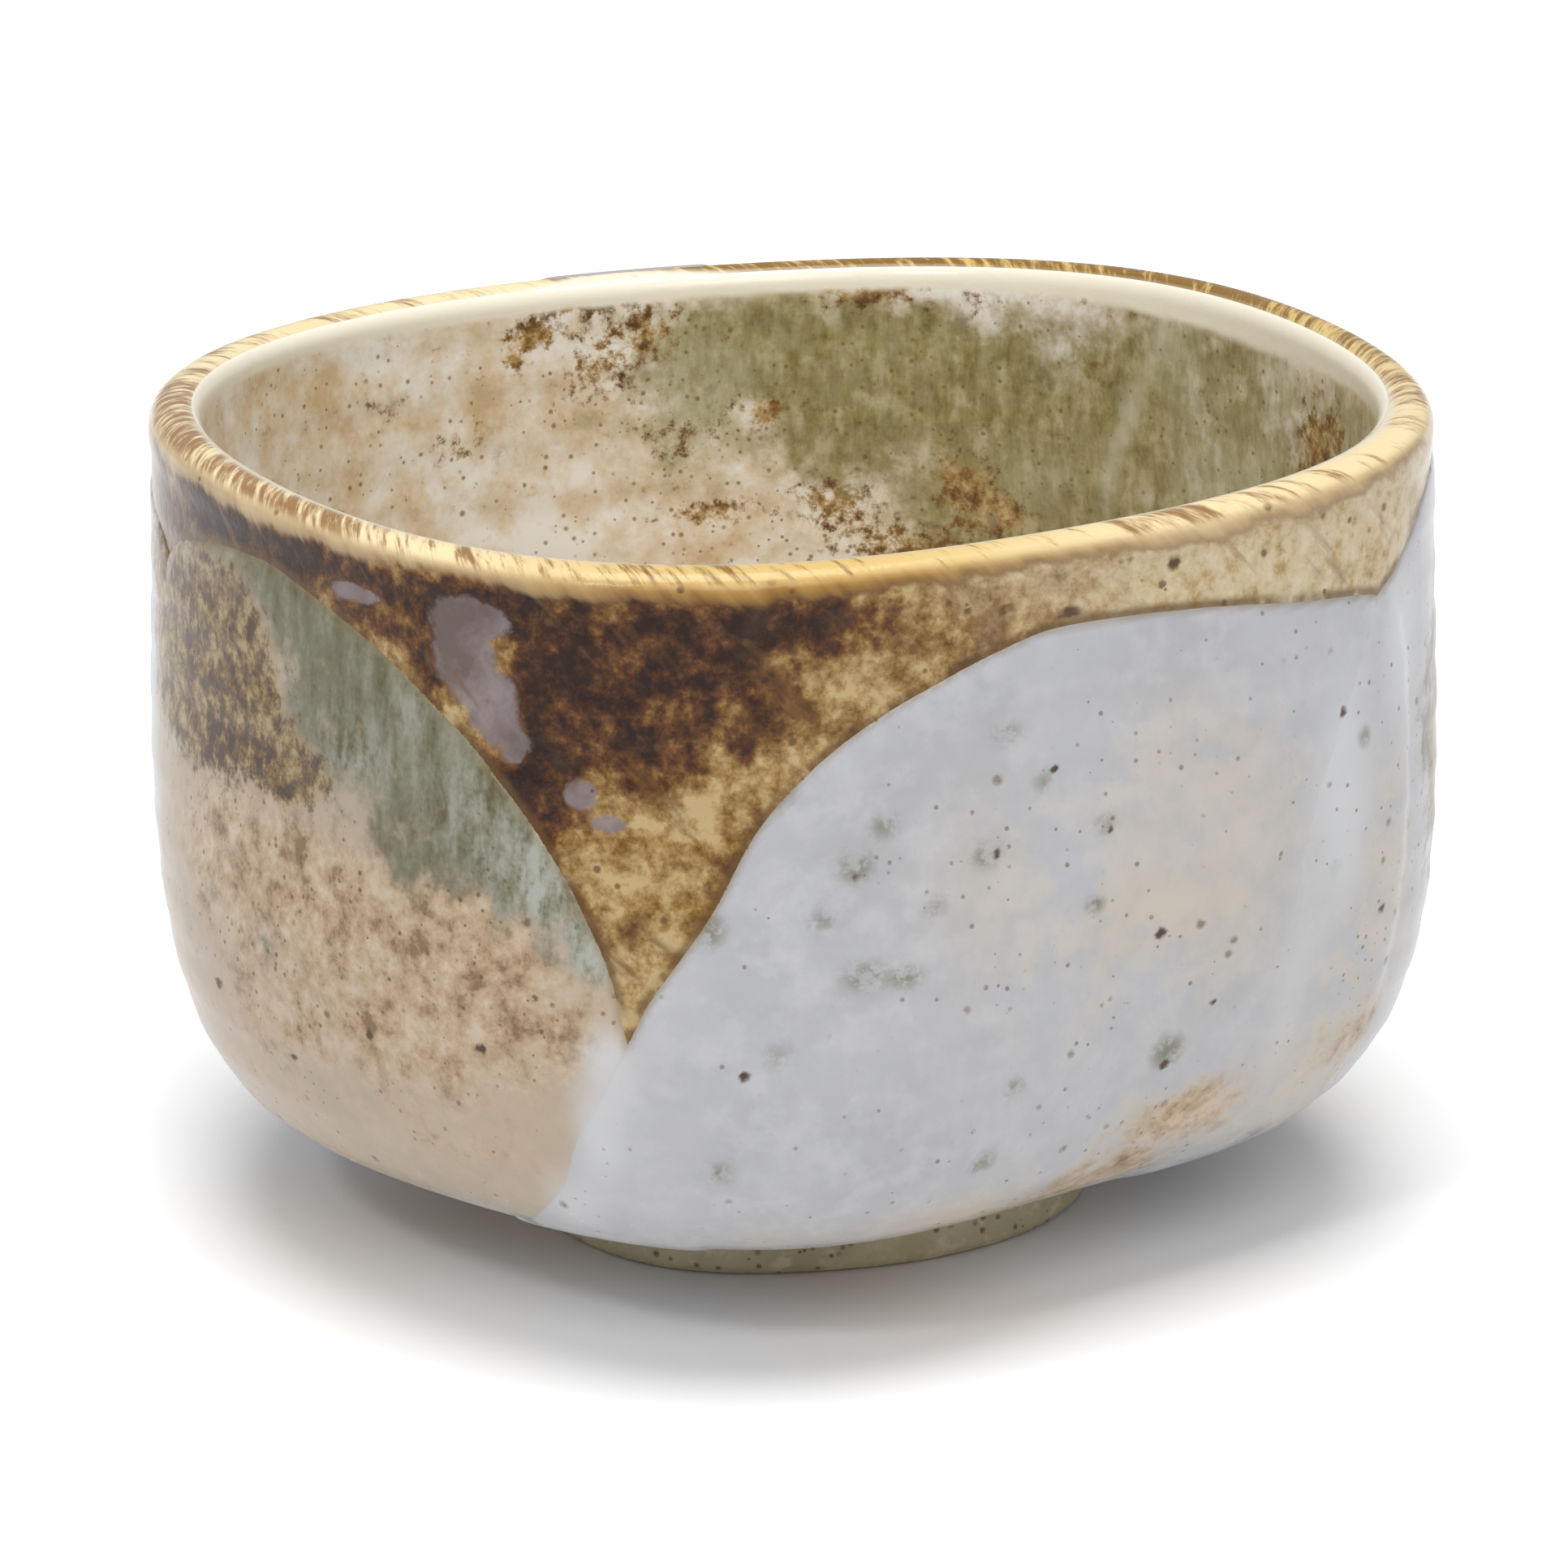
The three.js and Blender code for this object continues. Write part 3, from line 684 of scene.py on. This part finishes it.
def iron_glaze():
    """The brown glaze below the dips: ochre where thin, near black where pooled, buff to the right."""
    glaze = Glaze("iron_glaze")
    cloud = glaze.noise(75, 5, 0.6)
    mottle = glaze.noise(210, 5, 0.6)
    grain = glaze.noise(620, 6, 0.68)
    depth = glaze.total(glaze.scaled(grain, 1.7, -0.55), glaze.scaled(mottle, 1.8, -0.9),
                        glaze.scaled(cloud, 0.8, -0.4), glaze.scaled(glaze.layer("dark"), 0.6, 0.0),
                        glaze.scaled(glaze.layer("ochre"), -0.3, 0.0))
    colour = glaze.tones(depth, (0.0, (0.42, 0.31, 0.15)), (0.2, (0.31, 0.195, 0.075)),
                         (0.4, (0.19, 0.10, 0.026)), (0.6, (0.10, 0.038, 0.010)),
                         (0.8, (0.045, 0.015, 0.005)), (1.0, (0.018, 0.006, 0.003)))
    sand = glaze.total(glaze.scaled(grain, 1.8, -0.6), glaze.scaled(mottle, 1.2, -0.6))
    buff = glaze.tones(sand, (0.0, (0.54, 0.47, 0.34)), (0.35, (0.48, 0.385, 0.235)),
                       (0.6, (0.36, 0.25, 0.11)), (0.9, (0.2, 0.11, 0.035)))
    colour = glaze.paint(colour, "buff", mottle, 0.9, 0.45, buff)
    # Painted reflection: lavender-grey patches of a window reflected in the glossy brown glaze, laid into
    # its colour.
    painted_reflection = glaze.patch("painted_reflection", grain, 0.8, 0.1)
    reflection_tone = glaze.tones(glaze.scaled(mottle, 2.5, -0.75),
                        (0.2, (0.215, 0.18, 0.19)), (0.8, (0.13, 0.095, 0.085)))
    colour = glaze.mix(glaze.times(painted_reflection, 0.9), colour, reflection_tone)
    # The dark line where a dip meets the brown.
    line = glaze.times(glaze.between(glaze.layer("depth"), -1.1, -0.3),
                       glaze.between(mottle, 0.3, 0.5))
    colour = glaze.mix(glaze.times(line, 0.75), colour, (0.10, 0.05, 0.015))
    # The smooth roll under the lip, then the lip's crown with short brown strokes across it.
    strokes = glaze.noise(950, 4, 0.65, at=glaze.vector_layer("round_lip"))
    clumps = glaze.noise(280, 4, 0.6, at=glaze.vector_layer("round_lip"))
    pale = glaze.layer("pale_lip")
    drop = glaze.total(glaze.layer("roll"), glaze.scaled(clumps, 1.0, -0.5))
    golden = glaze.tones(drop, (0.15, (0.10, 0.045, 0.012)), (0.4, (0.24, 0.12, 0.025)),
                         (0.65, (0.36, 0.205, 0.055)), (0.95, (0.54, 0.37, 0.14)))
    creamy = glaze.tones(drop, (0.15, (0.30, 0.20, 0.11)), (0.45, (0.48, 0.37, 0.22)),
                         (0.8, (0.62, 0.50, 0.31)))
    roll = glaze.mix(pale, golden, creamy)
    colour = glaze.mix(glaze.between(drop, 0.05, 0.3), colour, roll)
    crown = glaze.mix(pale, (0.60, 0.42, 0.15), (0.78, 0.66, 0.42))
    reach = glaze.total(glaze.scaled(strokes, 3.0, -1.5), glaze.scaled(clumps, 2.0, -1.0),
                        glaze.scaled(glaze.layer("stroked"), 1.1, -0.25))
    stroke_colour = glaze.mix(pale, (0.20, 0.105, 0.02), (0.27, 0.14, 0.06))
    crown = glaze.mix(glaze.times(glaze.between(reach, 0.15, 0.85), 0.95), crown, stroke_colour)
    colour = glaze.mix(glaze.layer("crown"), colour, crown)
    # Cream glaze on the lip's inner edge, lightened in part as a painted highlight.
    colour = glaze.mix(glaze.layer("lip_cream_and_highlight"), colour, (0.74, 0.68, 0.54))
    dots = glaze.specks(520, 0.36, 0.12, 0.34, 0.6)
    dots = glaze.times(dots, glaze.scaled(glaze.layer("crown"), -0.7, 0.8))
    colour = glaze.mix(dots, colour, (0.09, 0.045, 0.015))
    colour = glaze.paint(colour, "dot", grain, 0.6, 0.25, (0.09, 0.045, 0.02))
    normal = glaze.bump(mottle, 0.00012)
    normal = glaze.bump(grain, 0.00005, 1.0, normal)
    return glaze.finish(colour, gloss(glaze, grain, 0.06, 0.22), normal, specular=0.22)


def liner_glaze():
    """The glaze inside: cream to the left, deep olive at the back right, with rusty patches."""
    glaze = Glaze("liner_glaze")
    cloud = glaze.noise(75, 5, 0.62)
    mottle = glaze.noise(260, 5, 0.62)
    grain = glaze.noise(640, 6, 0.7)
    fall = glaze.noise(620, 5, 0.65, at=glaze.vector_layer("running"))
    ground = glaze.total(glaze.scaled(cloud, 2.6, -1.0), glaze.scaled(mottle, 1.8, -0.8),
                         glaze.scaled(grain, 1.0, -0.4))
    colour = glaze.tones(ground, (0.1, (0.82, 0.79, 0.73)), (0.4, (0.75, 0.67, 0.55)),
                         (0.7, (0.69, 0.56, 0.40)), (1.0, (0.60, 0.44, 0.26)))
    streaks = glaze.total(glaze.scaled(fall, 1.7, -0.6), glaze.scaled(mottle, 1.8, -0.9),
                          glaze.scaled(grain, 1.2, -0.5))
    olive = glaze.tones(streaks, (0.0, (0.43, 0.385, 0.225)), (0.35, (0.305, 0.265, 0.118)),
                        (0.7, (0.205, 0.168, 0.056)), (1.0, (0.13, 0.095, 0.028)))
    ragged = glaze.total(glaze.scaled(cloud, 0.7, 0.0), glaze.scaled(mottle, 0.5, -0.1))
    colour = glaze.paint(colour, "olive", ragged, 1.8, 0.3, olive)
    haze = glaze.tones(streaks, (0.0, (0.56, 0.54, 0.40)), (0.5, (0.41, 0.385, 0.225)),
                       (1.0, (0.28, 0.24, 0.10)))
    colour = glaze.paint(colour, "mist", mottle, 1.2, 0.4, haze)
    colour = glaze.paint(colour, "run", mottle, 1.6, 0.5, (0.56, 0.54, 0.40))
    burnt = glaze.total(glaze.scaled(grain, 3.0, -1.1), glaze.scaled(mottle, 1.5, -0.75))
    rust = glaze.tones(burnt, (0.0, (0.60, 0.44, 0.22)), (0.3, (0.40, 0.26, 0.10)),
                       (0.6, (0.22, 0.12, 0.04)), (0.9, (0.10, 0.05, 0.02)))
    colour = glaze.paint(colour, "rust", grain, 2.4, 0.22, rust)
    blot = glaze.times(glaze.specks(190, 0.55, 0.16, 0.42, 0.9), glaze.between(grain, 0.4, 0.58))
    colour = glaze.mix(glaze.times(blot, 0.75), colour, (0.33, 0.29, 0.17))
    many = glaze.scaled(glaze.layer("specked"), 0.6, 0.3)
    specks = glaze.maths("MAXIMUM", glaze.specks(1000, many, 0.1, 0.4, 0.7),
                         glaze.specks(360, 0.2, 0.05, 0.2, 0.6))
    colour = glaze.mix(glaze.times(specks, 0.8), colour, (0.20, 0.115, 0.04))
    # Cream glaze at the lip's inner edge, narrowed to a painted highlight line.
    colour = glaze.paint(colour, "lip_cream_and_highlight", mottle, 0.9, 0.4, (0.80, 0.75, 0.62))
    normal = glaze.bump(glaze.noise(300, 4, 0.55), 0.00008)
    normal = glaze.bump(grain, 0.00002, 1.0, normal)
    return glaze.finish(colour, gloss(glaze, mottle, 0.12, 0.3), normal, specular=0.4)


def foot_glaze():
    """A thin grey-olive coat with dark specks on the foot ring's side."""
    glaze = Glaze("foot_glaze")
    cloud = glaze.noise(120, 5, 0.6)
    mottle = glaze.noise(500, 5, 0.65)
    colour = glaze.mix(glaze.between(cloud, 0.35, 0.65), (0.58, 0.50, 0.33), (0.47, 0.41, 0.25))
    colour = glaze.mix(glaze.between(mottle, 0.5, 0.7), colour, (0.68, 0.58, 0.41))
    dots = glaze.maths("MAXIMUM", glaze.specks(800, 0.8, 0.12, 0.46, 0.7),
                       glaze.specks(480, 0.4, 0.1, 0.34, 0.6))
    colour = glaze.mix(glaze.times(dots, 0.85), colour, (0.11, 0.07, 0.025))
    return glaze.finish(colour, gloss(glaze, mottle, 0.25, 0.45), glaze.bump(mottle, 0.00006))


def fired_clay():
    """The unglazed clay: sandy, a little coarse, with iron specks."""
    glaze = Glaze("fired_clay")
    cloud = glaze.noise(80, 5, 0.6)
    grain = glaze.noise(1400, 4, 0.7)
    colour = glaze.mix(glaze.between(cloud, 0.3, 0.7), (0.42, 0.30, 0.185), (0.34, 0.225, 0.13))
    colour = glaze.mix(glaze.between(grain, 0.5, 0.75), colour, (0.50, 0.39, 0.27))
    dots = glaze.specks(600, 0.25, 0.12, 0.36, 0.5)
    colour = glaze.mix(glaze.times(dots, 0.8), colour, (0.10, 0.055, 0.03))
    return glaze.finish(colour, gloss(glaze, grain, 0.7, 0.95), glaze.bump(grain, 0.00012))


def floor_paper():
    """Plain white paper for the floor."""
    paper = Glaze("floor_paper")
    grain = paper.noise(40, 3, 0.5)
    colour = paper.mix(grain, (0.90, 0.90, 0.90), (0.92, 0.92, 0.92))
    return paper.finish(colour, gloss(paper, grain, 0.85, 0.95), paper.bump(grain, 0.00001))


# ---- pieces

ROUND = np.linspace(-math.pi, math.pi, COLUMNS, endpoint=False)[None, :]


def drawn_out_layer(rows, angle, share, lean=0.0):
    """Coordinates for strokes that run up the section: its length counts for a share of the rest,
    and strokes lean over by so many millimetres for each one they rise."""
    along = np.concatenate([[0], np.cumsum(np.linalg.norm(np.diff(rows[:, :2], axis=0), axis=1))])
    wide = BELLY[0] * MM
    turned = angle + lean * along[:, None] / BELLY[0]
    risen = along[:, None] * MM * share + 0 * turned
    return np.stack([wide * np.cos(turned), wide * np.sin(turned), risen], -1)


def zone_layers(layout, rows, angle):
    degrees = np.degrees(angle)
    height = rows[:, 1][:, None]
    return {label: spots(places, degrees, height) for label, places in layout.items()}


# Where the outer coat dips under the liner, on the inner half of the lip: how far the surface
# there faces outward.
LIP_JOIN = -0.7
LIP_JOIN_REACH = 0.3
LIP_TUCK = 0.3


def coat_loop(front_rows, back_rows, columns):
    """The rows of a coat as one loop: up its front and back down its hidden side."""
    tucked = LIP_TUCK * smooth(-front_rows[:, 2], -LIP_JOIN, -LIP_JOIN + LIP_JOIN_REACH)
    front = body_points(front_rows, columns, BASE_RISE - tucked[:, None])
    back = body_points(back_rows[::-1], columns, -BACK_DEPTH)
    return np.concatenate([front, back]), np.concatenate([front_rows, back_rows[::-1]])


def make_body(material):
    rows = rows_along(("hip", 3), ("wall", 3), ("lip_out", 1), ("lip_in", 1), ("inner", 3), ("floor", 2))
    columns = ROUND[:, ::4]
    skin = body_points(rows[:-1], columns, -CLAY_DEPTH)
    under = [foot_shape(np.array([[radius]]), np.array([[height]]), columns)[0]
             for radius, height in ((2, UNDERSIDE + 0.5), (12, UNDERSIDE + 0.35), (20, UNDERSIDE + 0.1),
                                    (FOOT_RADIUS - FOOT_WALL, UNDERSIDE), (FOOT_RADIUS + 1, UNDERSIDE))]
    points = np.concatenate([np.stack(under), skin])
    return turned_piece("clay_body", points, {}, material, poles=True)


def foot_profile(points, steps):
    """A closed outline with eased corners: each (radius, height, ease) corner is rounded off."""
    outline = []
    count = len(points)
    for i, (r, z, ease) in enumerate(points):
        corner = np.array([r, z])
        before = np.array(points[i - 1][:2]) - corner
        after = np.array(points[(i + 1) % count][:2]) - corner
        start = corner + before / np.linalg.norm(before) * ease
        end = corner + after / np.linalg.norm(after) * ease
        for share in np.linspace(0, 1, steps):
            outline.append((1 - share)**2 * start + 2 * share * (1 - share) * corner + share**2 * end)
    return np.array(outline)


def densified(outline, step):
    """Adds points so that no stretch of a closed outline is longer than a step."""
    dense = []
    for start, end in zip(outline, np.roll(outline, -1, axis=0)):
        count = max(int(math.ceil(np.linalg.norm(end - start) / step)), 1)
        dense.extend(start + (end - start) * share for share in np.arange(count) / count)
    return np.array(dense)


def make_foot(name, corners, material, columns):
    outline = densified(foot_profile(corners, 5), 0.8)
    wobble = 0.08 * np.sin(5 * columns + 1) + 0.05 * np.sin(9 * columns)
    points = foot_shape(outline[:, 0][:, None] + wobble, outline[:, 1][:, None], columns)
    return turned_piece(name, points, {}, material)


def make_foot_ring(material):
    outer = FOOT_RADIUS - 0.35
    inner = FOOT_RADIUS - FOOT_WALL
    corners = [(inner, 0, 0.8), (outer, 0, 0.7), (outer, FOOT_HEIGHT + 0.2, 0.1),
               (inner - 0.5, FOOT_HEIGHT + 0.2, 0.1)]
    return make_foot("clay_foot_ring", corners, material, ROUND[:, ::2])


def make_foot_glaze(material):
    outer = FOOT_RADIUS + 0.1
    inner = FOOT_RADIUS - 1.2
    corners = [(inner, 0.25, 0.1), (outer - 0.5, 0.15, 0.25), (outer, 1.0, 0.3),
               (outer, FOOT_HEIGHT + 0.1, 0.1), (inner, FOOT_HEIGHT + 0.1, 0.1)]
    return make_foot("glaze_on_foot", corners, material, ROUND)


def dip_depths(angle, height):
    return {name: depth_inside(dip["outline"], angle, height) for name, dip in DIPS.items()}


def make_iron(material):
    front = rows_along(("hip", 1.6), ("wall", ROW_STEP), ("lip_out", 0.35), ("lip_in", 0.35))
    back = rows_along(("hip", HIDDEN_STEP), ("wall", HIDDEN_STEP), ("lip_out", 1), ("lip_in", 1))
    points, rows = coat_loop(front, back, ROUND)
    layers = zone_layers(IRON_LAYOUT, rows, ROUND)
    degrees = np.degrees(ROUND) + 0 * rows[:, 1][:, None]
    height = rows[:, 1][:, None] + 0 * degrees
    turns = [dip_depths(degrees + turn, height) for turn in (-360, 0, 360)]
    layers["depth"] = np.max([depth for turn in turns for depth in turn.values()], axis=0)
    facing_out = rows[:, 2][:, None] + 0 * degrees
    wobble = 0.25 * np.sin(7 * ROUND + 1) + 0.15 * np.sin(19 * ROUND)
    layers["roll"] = np.clip((height + wobble - (HEIGHT - ROLL_HEIGHT)) / ROLL_HEIGHT, 0, 1)
    layers["crown"] = smooth(facing_out, 0.95, 0.7) * (height > HEIGHT - WALL)
    # Cream on the lip's inner side, in part a painted highlight: held back on the far side, so it reaches
    # further over the crown on the side facing the camera.
    overrun = np.exp(-((degrees - 108) / 9)**2)
    behind = 0.6 * smooth(np.sin(ROUND), -0.5, 0.1) * (1 - overrun) - 0.2 * overrun
    layers["lip_cream_and_highlight"] = smooth(facing_out + behind, 0.1, -0.4)
    layers["round_lip"] = drawn_out_layer(rows, ROUND, 0.3, 0.9)
    return turned_piece("iron_coat", points, layers, material)


def make_liner(material):
    front = rows_along(("lip_in", 0.35), ("inner", ROW_STEP * 1.3), ("floor", ROW_STEP * 1.6))[1:-1]
    back = rows_along(("lip_in", 1), ("inner", HIDDEN_STEP), ("floor", HIDDEN_STEP))[1:-1]
    tucked = LIP_TUCK * smooth(front[:, 2], LIP_JOIN, LIP_JOIN + LIP_JOIN_REACH)
    tucked = tucked * (front[:, 1] > HEIGHT - WALL)
    top = body_points(front, ROUND, BASE_RISE + 0.02 - tucked[:, None])
    hidden = body_points(back[::-1], ROUND, -BACK_DEPTH)
    rows = np.concatenate([back[::-1], front])
    layers = zone_layers(LINER_LAYOUT, rows, ROUND)
    # Cream at the lip's inner edge, kept to a narrow painted highlight line, wider towards 25 degrees.
    wide_band = 1.2 * np.exp(-((np.degrees(ROUND) - 25) / 24)**2)
    layers["lip_cream_and_highlight"] = smooth(rows[:, 1][:, None] + wide_band, HEIGHT - 3.4, HEIGHT - 2.0)
    layers["running"] = drawn_out_layer(rows, ROUND, 0.35)
    return turned_piece("liner_coat", np.concatenate([hidden, top]), layers, material, poles=True)


def make_dip(name, material):
    """One dip: proud inside its outline, and under the surface it lies on outside it."""
    dip = DIPS[name]
    rows = rows_along(("root", ROW_STEP), ("hip", ROW_STEP), ("wall", ROW_STEP), ("lip_out", 0.5))
    low, high = (math.radians(edge) for edge in dip["window"])
    columns = np.linspace(low, high, int((high - low) / (2 * math.pi) * COLUMNS))[None, :]
    degrees = np.degrees(columns) + 0 * rows[:, 1][:, None]
    height = rows[:, 1][:, None] + 0 * degrees
    depth = depth_inside(dip["outline"], degrees, height)
    rise = BASE_RISE + coat_profile(depth)
    for other in dip["over"]:
        rise = rise + np.maximum(coat_profile(depth_inside(DIPS[other]["outline"], degrees, height)), 0)
    front = body_points(rows, columns, rise)
    back = body_points(rows, columns, -BACK_DEPTH)
    kept_points = depth > -EDGE_MARGIN
    kept = kept_points[:-1, :-1] & kept_points[1:, :-1] & kept_points[:-1, 1:] & kept_points[1:, 1:]
    layers = zone_layers(DIP_LAYOUT, rows, columns)
    others = [depth_inside(DIPS[other]["outline"], degrees + turn, height)
              for other in DIPS if other != name for turn in (-360, 0, 360)]
    bare = 1 - smooth(np.max(others, axis=0), -0.8, 0.8)
    layers["thin"] = smooth(depth, 0.7, 0.0) * bare
    layers["running"] = drawn_out_layer(rows, columns, 0.35)
    return cut_piece(f"dip_{name}", front, back, kept, layers, material)


def coat_profile(depth):
    """How far a coat stands above what it lies on, at a depth inside its edge."""
    proud = DIP_RISE * (1 - np.exp(-np.maximum(depth, 0) / EDGE_ROUNDING))
    return np.where(depth > 0, proud, np.maximum(depth * EDGE_SINK, -BACK_DEPTH))


# ---- assembly

def settle(pieces):
    """Moves the pieces to where the CAD bowl stands, by the box of its outer coat."""
    low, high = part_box("iron_base_glaze")
    coat = pieces["iron_base_glaze"].data.vertices
    places = np.zeros(len(coat) * 3)
    coat.foreach_get("co", places)
    places = places.reshape(-1, 3)
    middle = (places.min(0) + places.max(0)) / 2
    shift = (low + high) / 2 - Vector(middle)
    for piece in pieces.values():
        shifted = np.zeros(len(piece.data.vertices) * 3)
        piece.data.vertices.foreach_get("co", shifted)
        shifted = shifted.reshape(-1, 3) + (shift.x, shift.y, 0)
        piece.data.vertices.foreach_set("co", shifted.ravel())
        piece.data.update()


clay = fired_clay()
MILKY_WHITE = (0.395, 0.397, 0.42)
PALE_CREAM = (0.385, 0.312, 0.235)
white = dipped_glaze("white_glaze", MILKY_WHITE)
celadon = dipped_glaze("celadon_glaze", PALE_CREAM)
dip_materials = {"white_glaze": white, "celadon_glaze": celadon}

pieces = {
    "stoneware_body": make_body(clay),
    "foot_ring": make_foot_ring(clay),
    "foot_glaze": make_foot_glaze(foot_glaze()),
    "iron_base_glaze": make_iron(iron_glaze()),
    "liner_glaze": make_liner(liner_glaze()),
}
for dip_name, dip_facts in DIPS.items():
    pieces[dip_facts["replaces"]] = make_dip(dip_name, dip_materials[dip_facts["slot"]])

settle(pieces)
for node, piece in pieces.items():
    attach(piece, "root")
    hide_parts(node)


# ---- studio

# Metres.
FLOOR_HALF_WIDTH = 4.0


def make_floor():
    half = FLOOR_HALF_WIDTH
    corners = [(-half, -half, 0), (half, -half, 0), (half, half, 0), (-half, half, 0)]
    mesh = bpy.data.meshes.new("floor")
    mesh.from_pydata(corners, [], [(0, 1, 2, 3)])
    mesh.materials.append(floor_paper())
    floor = bpy.data.objects.new("floor", mesh)
    bpy.context.scene.collection.objects.link(floor)


def make_world(strength):
    world = bpy.data.worlds.new("studio")
    world.use_nodes = True
    background = world.node_tree.nodes["Background"]
    background.inputs["Color"].default_value = (1, 1, 1, 1)
    background.inputs["Strength"].default_value = strength
    bpy.context.scene.world = world


def make_sun(name, azimuth, elevation, strength, spread):
    """A soft lamp far off, shining from an azimuth and elevation in degrees."""
    lamp = bpy.data.lights.new(name, "SUN")
    lamp.energy = strength
    lamp.angle = math.radians(spread)
    sun = bpy.data.objects.new(name, lamp)
    around = math.radians(azimuth)
    up = math.radians(elevation)
    toward = Vector((math.cos(up) * math.cos(around), math.cos(up) * math.sin(around), math.sin(up)))
    sun.rotation_euler = toward.to_track_quat("Z", "Y").to_euler()
    bpy.context.scene.collection.objects.link(sun)


# The camera, fitted together with the bowl's plan: metres, degrees, and millimetres of lens.
CAMERA_PLACE = (-0.00053, -0.57097, 0.22019)
CAMERA_TILT = 17.56
CAMERA_ROLL = 0.80
LENS = 142.7
SENSOR_WIDTH = 36
NEAREST_SEEN = 0.01


def make_camera():
    data = bpy.data.cameras.new("camera")
    data.lens = LENS
    data.sensor_width = SENSOR_WIDTH
    data.clip_start = NEAREST_SEEN
    camera = bpy.data.objects.new("camera", data)
    camera.location = CAMERA_PLACE
    camera.rotation_mode = "XYZ"
    camera.rotation_euler = (math.radians(90 - CAMERA_TILT), 0, 0)
    camera.rotation_euler.rotate_axis("Z", math.radians(-CAMERA_ROLL))
    bpy.context.scene.collection.objects.link(camera)
    bpy.context.scene.camera = camera


WORLD_STRENGTH = 0.42

make_floor()
make_world(WORLD_STRENGTH)
make_sun("overhead", -90, 86, 2.45, 38)
make_sun("front_fill", -82, 40, 0.85, 30)
make_sun("window", -122, 44, 0.4, 7)
make_camera()
bpy.context.scene.view_settings.view_transform = "Standard"
